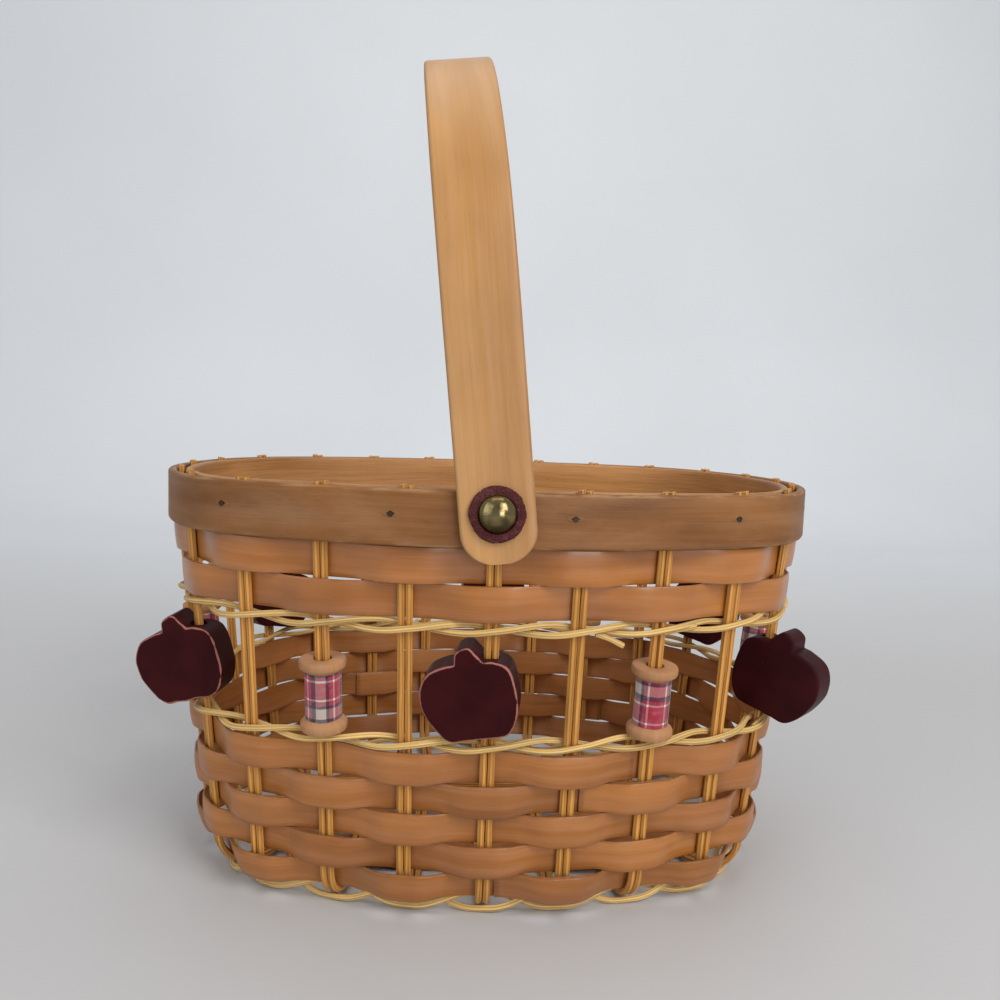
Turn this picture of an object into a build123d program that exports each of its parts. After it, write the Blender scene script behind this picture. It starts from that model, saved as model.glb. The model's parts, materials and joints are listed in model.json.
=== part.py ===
from build123d import *
from math import asin, atan2, cos, degrees, hypot, pi, radians, sin, tan
import os

os.makedirs("parts", exist_ok=True)

# An oval basket woven from flat wood chips on pairs of round reeds, with a bent
# wood swing handle. All sizes are in millimetres. +Z is up, the long side runs
# along X, the front faces -Y, and the origin is under the middle of the floor.

# ---- Plan of the rim: an oval of eight tangent arcs ----
rim_half_length = 132.0
rim_half_depth = 102.0
side_arc_radius = 230.0
end_arc_radius = 120.0
corner_arc_radius = 58.0

# ---- Rim ----
rim_height = 155.5
band_height = 19.0
outer_band_thickness = 3.3
inner_band_thickness = 3.0
band_gap = 3.1
band_edge_radius = 1.0

# ---- Round reeds, in pairs, that stand round the wall ----
station_count = 24
reed_diameter = 2.6
reed_spacing = 2.75
reed_end_above_rim = 0.9
wall_lean = 5.0
shoulder_radius = 60.0
bend_start_height = 14.4
floor_turn_run = 20.0
floor_turn_radius = 11.0

# ---- Flat chips ----
chip_thickness = 1.0
upper_chip_width = 12.4
lower_chip_width = 11.0
upper_row_count = 2
lower_row_count = 5
weave_gap = 0.15
row_gap = 0.35
crest_half = 3.9
crest_run = 2.0
straight_turn = 0.3
edge_steps = 4

# ---- Twined reeds ----
twine_diameter = 2.3
open_band_height = 42.0
base_twine_angle = 63.5
end_twine_turn = 18.0
twine_crest_half = 3.0
twine_end_gap = 0.6

# ---- Floor chips ----
inner_floor_chip_y = 10.3
middle_floor_chip_y = 31.6
outer_floor_chip_y = 45.0
floor_chip_width = 12.8
floor_chip_overhang = 5.5
floor_crest_length = 8.0

# ---- Handle ----
handle_width = 25.4
handle_thickness = 3.5
handle_leg = 67.0
handle_end = 16.5
handle_corner_radius = 10.5
handle_edge_radius = 0.9
handle_lean = 6.3
pivot_below_rim = 6.8
handle_gap = 0.3

# ---- Rivets ----
rivet_diameter = 4.0
pivot_clearance = 0.05
shank_clearance = 0.05
rivet_dome_diameter = 12.9
rivet_dome_height = 4.2
leather_diameter = 18.8
leather_thickness = 1.8
leather_edge = 0.4
washer_gap = 0.15
burr_diameter = 9.0
burr_thickness = 1.0
burr_tail = 0.8

# ---- Brads through the rim bands ----
brad_diameter = 1.3
brad_head_diameter = 2.0
brad_head_height = 0.25
brad_offset = -4.2
brad_below_rim = 8.5

# ---- Ornaments on every second reed pair ----
ornament_bore = 6.0
ornament_seat_gap = 0.3
apple_thickness = 12.7
apple_stem_height = 34.4
apple_body_left = 23.7
apple_body_right = 10.0
apple_edge = 0.5
spool_height = 26.0
spool_diameter = 16.4
spool_barrel_diameter = 12.0
spool_flange = 3.2
spool_bevel = 1.3
wrap_thickness = 0.4
wrap_gap = 0.02

# The turn of each apple about its reeds, by station.
apple_turns = {0: -8.0, 4: 79.0, 8: 28.0, 12: 6.0, 16: -20.0, 20: 48.0}

# ---- Derived sizes ----
reed_radius = reed_diameter / 2
twine_radius = twine_diameter / 2
swing = reed_radius + chip_thickness / 2 + weave_gap
twine_swing = reed_radius + twine_radius + weave_gap
twine_half_height = twine_radius + 2 * weave_gap
wall_inset = outer_band_thickness + band_gap / 2
band_bottom = rim_height - band_height
shoulder_height = band_bottom - row_gap
pivot_height = rim_height - pivot_below_rim
floor_height = swing + chip_thickness / 2
reed_step = 2 * reed_radius + weave_gap
lean = radians(wall_lean)


# ---- Plan of the oval ----
# The side arc's centre lies on Y and the end arc's on X. The corner arc touches
# both from inside, so its centre is where two circles about them meet.
side_centre = side_arc_radius - rim_half_depth
end_centre = rim_half_length - end_arc_radius
side_reach = side_arc_radius - corner_arc_radius
end_reach = end_arc_radius - corner_arc_radius
centre_distance = hypot(side_centre, end_centre)
along = (side_reach**2 - end_reach**2 + centre_distance**2) / (2 * centre_distance)
across = (side_reach**2 - along**2) ** 0.5
corner_x = (along * end_centre + across * side_centre) / centre_distance
corner_y = (along * side_centre - across * end_centre) / centre_distance - side_centre
side_turn = degrees(atan2(corner_x, corner_y + side_centre))
end_turn = degrees(atan2(corner_y, corner_x - end_centre))
corner_turn = 90 - side_turn - end_turn


def plan_arcs(inset):
    """The quarter's arcs from the side's middle to the end's: radius and turn."""
    return [
        (side_arc_radius - inset, side_turn),
        (corner_arc_radius - inset, corner_turn),
        (end_arc_radius - inset, end_turn),
    ]


def plan_point(normal, inset, height):
    """The point whose outward normal stands at this angle, moved in by inset."""
    c = cos(radians(normal))
    s = sin(radians(normal))
    quarter = degrees(atan2(abs(s), abs(c)))
    if quarter <= end_turn:
        x, y, radius = end_centre, 0, end_arc_radius
    elif quarter < 90 - side_turn:
        x, y, radius = corner_x, corner_y, corner_arc_radius
    else:
        x, y, radius = 0, -side_centre, side_arc_radius
    sign_x = -1 if c < 0 else 1
    sign_y = -1 if s < 0 else 1
    reach = radius - inset
    return Vector(sign_x * x + reach * c, sign_y * y + reach * s, height)


mid_wall_inset = wall_inset + shoulder_height / 2 * tan(lean)
quarter_run = sum(radius * radians(turn) for radius, turn in plan_arcs(mid_wall_inset))
station_run = 4 * quarter_run / station_count


def station_normal(station):
    """The wall's normal angle at a station, counted from the front's middle."""
    run = (station * station_run) % (4 * quarter_run)
    quarter = int(run // quarter_run)
    left = run - quarter * quarter_run
    if quarter % 2:
        left = quarter_run - left
    turn = 0
    for radius, arc_turn in plan_arcs(mid_wall_inset):
        step = min(left, radius * radians(arc_turn))
        turn += degrees(step / radius)
        left -= step
    return [-90 + turn, 90 - turn, 90 + turn, 270 - turn][quarter]


def outward(normal):
    return Vector(cos(radians(normal)), sin(radians(normal)), 0)


def tangent(normal):
    return Vector(-sin(radians(normal)), cos(radians(normal)), 0)


# ---- Side view of the wall: a vertical top, a leaning wall and a bottom bend ----
end_station = station_count // 4
end_stations = range(end_station - 1, end_station + 2)
cross_stations = range(2 - end_station, end_station - 1)


def end_share(station):
    """1 at the pairs that run lengthwise, 0 at those that run across."""
    half_count = station_count // 2
    from_front = abs((station + half_count) % station_count - half_count)
    return min(1.0, max(0.0, 2.0 - abs(from_front - end_station)))


def floor_level(station):
    """The reeds that run lengthwise lie on top of those that run across."""
    return floor_height + end_share(station) * reed_step


def bend_radius(station):
    """Every bend starts at the same height, so a higher floor has a tighter one."""
    return (bend_start_height - floor_level(station)) / (1 - sin(lean))


def corner_inset(station):
    return wall_inset + (shoulder_height - floor_level(station)) * tan(lean)


def wall_at(station, height):
    """The reeds' inset and lean, in degrees, at a height."""
    if height >= bend_start_height:
        return wall_inset + (shoulder_height - height) * tan(lean), wall_lean
    radius = bend_radius(station)
    drop = asin((floor_level(station) + radius - height) / radius)
    start = wall_inset + (shoulder_height - bend_start_height) * tan(lean)
    return start + radius * (cos(lean) - cos(drop)), degrees(drop)


def corner_radii(points, run):
    """The points that turn the path, and arcs there that use this much of each run."""
    kept = []
    radii = []
    count = len(points)
    for i, point in enumerate(points):
        turn = (point - points[i - 1]).get_angle(points[(i + 1) % count] - point)
        if turn > straight_turn:
            kept.append(point)
            radii.append(run / tan(radians(turn / 2)))
    return kept, radii


# ---- Oval bands ----
def oval(inset):
    """The eight arcs of the oval, moved in from the rim's outer face."""
    with BuildLine() as outline:
        for sign_x, sign_y, start in ((1, 1, 0), (-1, 1, 90), (-1, -1, 180), (1, -1, 270)):
            flipped = start in (90, 270)
            arcs = [
                (sign_x * end_centre, 0, end_arc_radius, end_turn),
                (sign_x * corner_x, sign_y * corner_y, corner_arc_radius, corner_turn),
                (0, -sign_y * side_centre, side_arc_radius, side_turn),
            ]
            angle = start
            for x, y, radius, turn in reversed(arcs) if flipped else arcs:
                CenterArc((x, y), radius - inset, angle, turn)
                angle += turn
    return outline.edges()


# Brads stand beside the odd reed pairs; the rivets stand at the front and back.
brad_stations = range(1, station_count, 2)
inner_band_inset = outer_band_thickness + band_gap
inner_band_face = inner_band_inset + inner_band_thickness


def brad_plane(station):
    """A plane on the outer band's face, with Z pointing into the basket."""
    normal = station_normal(station + brad_offset / station_run)
    origin = plan_point(normal, 0, rim_height - brad_below_rim)
    return Plane(origin=origin, x_dir=Vector(0, 0, 1), z_dir=-outward(normal))


def pivot_plane(side, distance):
    """A plane across a rivet's axis, with Z pointing away from the basket."""
    origin = (0, side * distance, pivot_height)
    return Plane(origin=origin, x_dir=(0, 0, 1), z_dir=(0, side, 0))


# Bores for the rivets and the brads, to cut from both bands.
with BuildPart() as fastener_bores:
    for side in (-1, 1):
        with BuildSketch(pivot_plane(side, rim_half_depth + handle_gap)):
            Circle(rivet_diameter / 2 + pivot_clearance)
        extrude(amount=-inner_band_face - 2 * handle_gap)
    for station in brad_stations:
        with BuildSketch(brad_plane(station).offset(-handle_gap)):
            Circle(brad_diameter / 2 + shank_clearance)
        extrude(amount=inner_band_face + 2 * handle_gap)

with BuildPart() as outer_rim_band:
    with BuildSketch(Plane.XY.offset(band_bottom)):
        make_face(oval(0))
        make_face(oval(outer_band_thickness), mode=Mode.SUBTRACT)
    extrude(amount=band_height)
    fillet(outer_rim_band.faces().sort_by(Axis.Z)[-1].outer_wire().edges(), band_edge_radius)
    fillet(outer_rim_band.faces().sort_by(Axis.Z)[0].outer_wire().edges(), band_edge_radius / 2)
    add(fastener_bores.part, mode=Mode.SUBTRACT)

with BuildPart() as inner_rim_band:
    with BuildSketch(Plane.XY.offset(band_bottom)):
        make_face(oval(inner_band_inset))
        make_face(oval(inner_band_face), mode=Mode.SUBTRACT)
    extrude(amount=band_height)
    top = inner_rim_band.faces().sort_by(Axis.Z)[-1]
    fillet(top.inner_wires()[0].edges(), band_edge_radius)
    add(fastener_bores.part, mode=Mode.SUBTRACT)

with BuildPart() as rim_brads:
    for station in brad_stations:
        plane = brad_plane(station)
        with BuildSketch(plane):
            Circle(brad_diameter / 2)
        extrude(amount=inner_band_face - inner_band_thickness / 2)
        with BuildSketch(plane.offset(-brad_head_height)):
            Circle(brad_head_diameter / 2)
        extrude(amount=brad_head_height)

outer_rim_band.part.label = "outer_rim_band"
export_step(outer_rim_band.part, "parts/outer_rim_band.step")
inner_rim_band.part.label = "inner_rim_band"
export_step(inner_rim_band.part, "parts/inner_rim_band.step")
rim_brads.part.label = "rim_brads"
export_step(rim_brads.part, "parts/rim_brads.step")

# ---- Handle: a hoop with straight legs, leaning about its rivets ----
handle_inner = rim_half_depth + handle_gap
handle_outer = handle_inner + handle_thickness
handle_slope = radians(handle_lean)
handle_plane = Plane(
    origin=(0, 0, pivot_height),
    x_dir=(0, 1, 0),
    z_dir=(cos(handle_slope), 0, sin(handle_slope)),
)

with BuildPart() as handle_band:
    with BuildSketch(handle_plane):
        with BuildLine():
            Line((-handle_outer, -handle_end), (-handle_outer, handle_leg))
            CenterArc((0, handle_leg), handle_outer, 180, -180)
            Line((handle_outer, handle_leg), (handle_outer, -handle_end))
            Line((handle_outer, -handle_end), (handle_inner, -handle_end))
            Line((handle_inner, -handle_end), (handle_inner, handle_leg))
            CenterArc((0, handle_leg), handle_inner, 0, 180)
            Line((-handle_inner, handle_leg), (-handle_inner, -handle_end))
            Line((-handle_inner, -handle_end), (-handle_outer, -handle_end))
        make_face()
    extrude(amount=handle_width / 2, both=True)
    ends = handle_band.edges().filter_by(Axis.Y).filter_by(
        lambda edge: edge.length < handle_width / 2
    )
    fillet(ends, handle_corner_radius)
    across_handle = Axis((0, 0, pivot_height), handle_plane.z_dir)
    side_faces = handle_band.faces().sort_by(across_handle)
    fillet(side_faces[0].edges() + side_faces[-1].edges(), handle_edge_radius)
    for side in (-1, 1):
        with BuildSketch(pivot_plane(side, handle_inner - handle_gap)):
            Circle(rivet_diameter / 2 + pivot_clearance)
        extrude(amount=handle_thickness + 2 * handle_gap, mode=Mode.SUBTRACT)

handle_band.part.label = "handle_band"
export_step(handle_band.part, "parts/handle_band.step")

# ---- Rivets, leather washers and burrs at the front and back ----
leather_seat = handle_outer + washer_gap
dome_seat = leather_seat + leather_thickness
burr_seat = rim_half_depth - inner_band_face - washer_gap
dome_radius = ((rivet_dome_diameter / 2) ** 2 + rivet_dome_height**2) / (2 * rivet_dome_height)

for side, place in ((-1, "front"), (1, "back")):
    with BuildPart() as leather_washer:
        with BuildSketch(pivot_plane(side, leather_seat)):
            Circle(leather_diameter / 2)
            Circle(rivet_diameter / 2 + shank_clearance, mode=Mode.SUBTRACT)
        extrude(amount=leather_thickness)
        chamfer(leather_washer.edges().filter_by(GeomType.CIRCLE).sort_by(Axis.Y)[::3], leather_edge)

    with BuildPart() as rivet:
        shank_bottom = burr_seat - burr_thickness - burr_tail
        with BuildSketch(pivot_plane(side, shank_bottom)):
            Circle(rivet_diameter / 2)
        extrude(amount=dome_seat - shank_bottom)
        axis_plane = Plane(origin=(0, side * dome_seat, pivot_height), x_dir=(0, 0, 1), z_dir=(1, 0, 0))
        with BuildSketch(axis_plane):
            with BuildLine():
                top = (0, -side * rivet_dome_height)
                rim_point = (rivet_dome_diameter / 2, 0)
                Line((0, 0), rim_point)
                RadiusArc(rim_point, top, side * dome_radius)
                Line(top, (0, 0))
            make_face()
        revolve(axis=Axis((0, 0, pivot_height), (0, 1, 0)))

    with BuildPart() as rivet_burr:
        with BuildSketch(pivot_plane(side, burr_seat - burr_thickness)):
            Circle(burr_diameter / 2)
            Circle(rivet_diameter / 2 + shank_clearance, mode=Mode.SUBTRACT)
        extrude(amount=burr_thickness)

    for piece, kind in ((leather_washer, "leather_washer"), (rivet, "rivet"), (rivet_burr, "rivet_burr")):
        piece.part.label = f"{kind}_{place}"
        export_step(piece.part, f"parts/{kind}_{place}.step")

# ---- Chip rows woven round the wall ----
# Even stations stand outside the odd rows, and odd stations outside the even ones.
upper_rise = upper_chip_width * cos(lean)
lower_rise = lower_chip_width * cos(lean)
upper_twine_height = (
    shoulder_height - upper_row_count * (upper_rise + row_gap) - twine_half_height - twine_radius
)
middle_twine_height = upper_twine_height - open_band_height
lower_top = middle_twine_height - twine_half_height - twine_radius - row_gap

rows = []
for i in range(upper_row_count):
    middle = shoulder_height - upper_rise / 2 - i * (upper_rise + row_gap)
    rows.append((middle, upper_chip_width))
for i in range(lower_row_count):
    middle = lower_top - lower_rise / 2 - i * (lower_rise + row_gap)
    rows.append((middle, lower_chip_width))


def row_tilt(height, width):
    """The lean, in degrees, of a straight line between the wall's points at the row's edges."""
    half = width / 2 * cos(lean)
    return degrees(atan2(wall_at(0, height - half)[0] - wall_at(0, height + half)[0], 2 * half))


def row_points(height, width, tilt, outer_parity):
    """Corners of a row's path: a flat run outside one reed pair, then inside the next."""
    points = []
    for station in range(station_count):
        sign = 1 if station % 2 == outer_parity else -1
        normal = station_normal(station)
        fits = []
        for step in range(-edge_steps, edge_steps + 1):
            rise = step / (2 * edge_steps) * width * cos(radians(tilt))
            inset, slope = wall_at(station, height + rise)
            beside_line = inset + rise * tan(radians(tilt))
            fits.append(sign * beside_line - swing / cos(radians(slope)))
        middle = plan_point(normal, sign * min(fits), height)
        points.append(middle - tangent(normal) * crest_half)
        points.append(middle + tangent(normal) * crest_half)
    return points


for number, (height, width) in enumerate(rows, start=1):
    tilt = row_tilt(height, width)
    with BuildPart() as weaver_row:
        corners, radii = corner_radii(row_points(height, width, tilt, number % 2), crest_run)
        with BuildLine() as path:
            FilletPolyline(*corners, radius=radii, close=True)
        start = path.line @ 0
        heading = path.line % 0
        with BuildSketch(Plane(origin=start, x_dir=(0, 0, 1), z_dir=heading)):
            Rectangle(width, chip_thickness, rotation=tilt)
        sweep(path=path.line)
    weaver_row.part.label = f"weaver_row_{number}"
    export_step(weaver_row.part, f"parts/weaver_row_{number}.step")

# ---- Twined reeds: two strands that cross between every two reed pairs ----
def twine_points(phase, height=None, angle=None):
    """Corners of a strand: along outside, over, along inside and under, by half stations."""
    points = []
    for half in range(2 * station_count):
        station = half / 2
        normal = station_normal(station)
        if angle is None:
            inset, slope = wall_at(station, height)
            middle = height
        else:
            slope = angle + end_share(station) * end_twine_turn
            middle = floor_level(station) + bend_radius(station) * (1 - sin(radians(slope)))
            inset = wall_at(station, middle)[0]
        wave = pi * station + phase
        out = twine_swing * round(cos(wave))
        down = -twine_half_height * round(sin(wave))
        slope = radians(slope)
        moved_in = inset - out * cos(slope) + down * sin(slope)
        point = plan_point(normal, moved_in, middle - out * sin(slope) - down * cos(slope))
        if half % 2:
            points.append(point)
        else:
            points.append(point - tangent(normal) * twine_crest_half)
            points.append(point + tangent(normal) * twine_crest_half)
    return points


twine_bands = {
    "upper": {"height": upper_twine_height},
    "middle": {"height": middle_twine_height},
    "base": {"angle": base_twine_angle},
}

for band, place in twine_bands.items():
    for strand, phase in (("a", 0), ("b", pi)):
        with BuildPart() as twining:
            corners, radii = corner_radii(twine_points(phase, **place), crest_run)
            last_run = corners[-1] - corners[0]
            start = corners[0] + last_run * 0.5
            end = start + last_run.normalized() * twine_end_gap
            with BuildLine() as path:
                FilletPolyline(start, *corners, end, radius=radii)
            with BuildSketch(Plane(origin=path.line @ 0, z_dir=path.line % 0)):
                Circle(twine_radius)
            sweep(path=path.line)
        twining.part.label = f"twining_{band}_{strand}"
        export_step(twining.part, f"parts/twining_{band}_{strand}.step")


# ---- Reed pairs: down one wall, under the floor and up the opposite wall ----
def reed_points(station, side, across):
    """A reed's corners from its top end to its turn in the floor."""
    normal = station_normal(station)
    top = rim_height + reed_end_above_rim
    if station % (station_count // 2) == 0:
        top = pivot_height - rivet_diameter / 2 - weave_gap
    beside = tangent(normal)
    if beside.dot(across) < 0:
        beside = -beside
    mitre = (beside + across) * (1 / (1 + beside.dot(across)))
    offset = side * reed_spacing / 2
    corner = plan_point(normal, corner_inset(station), floor_level(station))
    turning = plan_point(normal, corner_inset(station) + floor_turn_run, floor_level(station))
    return [
        plan_point(normal, wall_inset, top) + beside * offset,
        plan_point(normal, wall_inset, shoulder_height) + beside * offset,
        corner + beside * offset,
        turning + mitre * offset,
    ]


def reed_pairs():
    """Each pair's name, its two stations and the direction across the pair."""
    pairs = []
    for number, station in enumerate(cross_stations, start=1):
        opposite = station_count // 2 - station
        pairs.append((f"reed_pair_cross_{number}", station, opposite, Vector(1, 0, 0)))
    for number, station in enumerate(end_stations, start=1):
        pairs.append((f"reed_pair_long_{number}", station, -station, Vector(0, 1, 0)))
    return pairs


for name, first, second, across in reed_pairs():
    with BuildPart() as reed_pair:
        for side in (-1, 1):
            down = reed_points(first, side, across)
            up = reed_points(second, side, across)
            corners = down + up[::-1]
            radii = [shoulder_radius, bend_radius(first), floor_turn_radius]
            radii = radii + radii[::-1]
            turn = (down[3] - down[2]).get_angle(up[3] - down[3])
            if turn < straight_turn:
                del corners[3:5], radii[2:4]
            with BuildLine() as path:
                FilletPolyline(*corners, radius=radii)
            with BuildSketch(Plane(origin=path.line @ 0, z_dir=path.line % 0)):
                Circle(reed_radius)
            sweep(path=path.line)
    reed_pair.part.label = name
    export_step(reed_pair.part, f"parts/{name}.step")

# ---- Floor chips, woven lengthwise over and under the crosswise reeds ----
floor_chips = [
    (-outer_floor_chip_y, 2),
    (-middle_floor_chip_y, 3),
    (-inner_floor_chip_y, 4),
    (inner_floor_chip_y, 4),
    (middle_floor_chip_y, 3),
    (outer_floor_chip_y, 2),
]

for number, (chip_y, reach) in enumerate(floor_chips, start=1):
    points = []
    for station in range(-reach, reach + 1):
        x = reed_points(station, 0, Vector(1, 0, 0))[3].X
        sign = 1 if (station + number) % 2 else -1
        z = floor_height + sign * swing
        points.append(Vector(x - floor_crest_length / 2, chip_y, z))
        points.append(Vector(x + floor_crest_length / 2, chip_y, z))
    points[0] = points[0] - Vector(floor_chip_overhang, 0, 0)
    points[-1] = points[-1] + Vector(floor_chip_overhang, 0, 0)
    with BuildPart() as floor_chip:
        with BuildLine() as path:
            FilletPolyline(*points, radius=crest_run)
        with BuildSketch(Plane(origin=path.line @ 0, x_dir=(0, 1, 0), z_dir=path.line % 0)):
            Rectangle(floor_chip_width, chip_thickness)
        sweep(path=path.line)
    floor_chip.part.label = f"floor_chip_{number}"
    export_step(floor_chip.part, f"parts/floor_chip_{number}.step")

# ---- Ornaments, threaded on every second reed pair in the open band ----
ornament_seat = middle_twine_height + (twine_half_height + twine_radius) * cos(lean) + ornament_seat_gap


def ornament_plane(station, turn):
    """At the ornament's foot: X to the right, Y up the reeds, Z out of the basket."""
    normal = station_normal(station)
    inset = wall_at(station, ornament_seat)[0]
    up = Vector(0, 0, 1) * cos(lean) + outward(normal) * sin(lean)
    face = outward(normal) * cos(lean) - Vector(0, 0, 1) * sin(lean)
    right = tangent(normal).rotate(Axis((0, 0, 0), up), turn)
    face = face.rotate(Axis((0, 0, 0), up), turn)
    return Plane(origin=plan_point(normal, inset, ornament_seat), x_dir=right, z_dir=face)


# The sawn outline: the body in one sweep from notch to notch, then the stem.
apple_height = apple_stem_height
apple_body = [
    (-0.06, 0.868),
    (0.05, 0.872),
    (0.21, 0.80),
    (0.297, 0.52),
    (0.30, 0.30),
    (0.21, 0.125),
    (0.0, 0.07),
    (-0.21, 0.018),
    (-0.38, 0.0),
    (-0.54, 0.13),
    (-0.665, 0.32),
    (-0.70, 0.53),
    (-0.62, 0.70),
    (-0.46, 0.785),
    (-0.36, 0.815),
]
apple_stem = [(-0.345, 0.935), (-0.22, 1.0), (-0.125, 0.93)]
apple_width = apple_body_left + apple_body_right


def apple_outline(shape):
    return [(x * apple_width, y * apple_height) for x, y in shape]


for station, turn in apple_turns.items():
    plane = ornament_plane(station, turn)
    body = apple_outline(apple_body)
    stem = apple_outline(apple_stem)
    with BuildPart() as apple:
        with BuildSketch(plane.offset(-apple_thickness / 2)):
            with BuildLine():
                Spline(*body)
                Spline(body[-1], *stem, body[0])
            make_face()
        extrude(amount=apple_thickness)
        flats = apple.faces().sort_by(Axis(plane.origin, plane.z_dir))
        chamfer(flats[0].edges() + flats[-1].edges(), apple_edge)
        foot = Plane(origin=plane.origin, x_dir=plane.x_dir, z_dir=plane.y_dir)
        with BuildSketch(foot.offset(-ornament_seat_gap)):
            Circle(ornament_bore / 2)
        extrude(amount=apple_height, mode=Mode.SUBTRACT)
    number = station // 4 + 1
    apple.part.label = f"apple_{number}"
    export_step(apple.part, f"parts/apple_{number}.step")

barrel_radius = spool_barrel_diameter / 2
flange_top = spool_flange + spool_bevel

for number, station in enumerate(range(2, station_count, 4), start=1):
    plane = ornament_plane(station, 0)
    axis = Axis(plane.origin, plane.y_dir)
    with BuildPart() as spool:
        with BuildSketch(plane):
            Polygon(
                (ornament_bore / 2, 0),
                (spool_diameter / 2, 0),
                (spool_diameter / 2, spool_flange),
                (barrel_radius, flange_top),
                (barrel_radius, spool_height - flange_top),
                (spool_diameter / 2, spool_height - spool_flange),
                (spool_diameter / 2, spool_height),
                (ornament_bore / 2, spool_height),
                align=None,
            )
        revolve(axis=axis)
    with BuildPart() as fabric_wrap:
        inner = barrel_radius + wrap_gap
        outer = inner + wrap_thickness
        bottom = flange_top + wrap_gap
        top = spool_height - flange_top - wrap_gap
        with BuildSketch(plane):
            Polygon((inner, bottom), (outer, bottom), (outer, top), (inner, top), align=None)
        revolve(axis=axis)
    spool.part.label = f"spool_{number}"
    export_step(spool.part, f"parts/spool_{number}.step")
    fabric_wrap.part.label = f"fabric_wrap_{number}"
    export_step(fabric_wrap.part, f"parts/fabric_wrap_{number}.step")
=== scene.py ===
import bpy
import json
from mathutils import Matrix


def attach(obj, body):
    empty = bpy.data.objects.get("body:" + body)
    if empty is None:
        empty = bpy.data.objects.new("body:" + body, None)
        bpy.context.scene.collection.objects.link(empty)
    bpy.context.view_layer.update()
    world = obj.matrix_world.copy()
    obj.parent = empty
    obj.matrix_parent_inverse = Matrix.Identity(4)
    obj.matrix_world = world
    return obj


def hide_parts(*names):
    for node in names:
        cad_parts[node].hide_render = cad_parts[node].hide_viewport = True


bl_info = {
    "name": "Woven Oval Basket",
    "version": (1, 0, 0),
    "blender": (4, 5, 0),
    "location": "3D View > Sidebar > Basket",
    "description": "Surfaces, materials and stage for an oval chip basket with a swing handle",
    "category": "Add Mesh",
}

import json
from math import cos, pi, radians, sin, tan

import bmesh
import bpy
import numpy as np
from bpy.props import FloatProperty, FloatVectorProperty, IntProperty, PointerProperty
from mathutils import Matrix, Vector

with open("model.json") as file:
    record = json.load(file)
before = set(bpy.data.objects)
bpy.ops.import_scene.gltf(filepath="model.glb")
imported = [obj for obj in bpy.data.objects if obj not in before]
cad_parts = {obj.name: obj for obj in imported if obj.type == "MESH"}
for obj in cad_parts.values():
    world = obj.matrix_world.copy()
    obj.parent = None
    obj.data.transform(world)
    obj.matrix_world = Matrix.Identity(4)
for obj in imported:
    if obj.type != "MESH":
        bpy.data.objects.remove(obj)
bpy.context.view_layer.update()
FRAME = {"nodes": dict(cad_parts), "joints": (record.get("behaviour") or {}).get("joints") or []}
PIVOT = Vector(next(j for j in FRAME["joints"] if j["name"] == "handle_swing")["pos_m"])
TURN_JOINTS = {j["child"]: j for j in FRAME["joints"] if j.get("continuous")}
BASKET = "basket"
TAU = 2 * pi
UP = np.array([0, 0, 1.0])


def size_property(name, description, default):
    return FloatProperty(name=name, description=description, default=default, unit="LENGTH", precision=5)


def angle_property(name, description, default):
    return FloatProperty(name=name, description=description, default=radians(default), subtype="ANGLE")


def colour_property(name, description, default):
    return FloatVectorProperty(name=name, description=description, default=default, subtype="COLOR", size=3)


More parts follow.
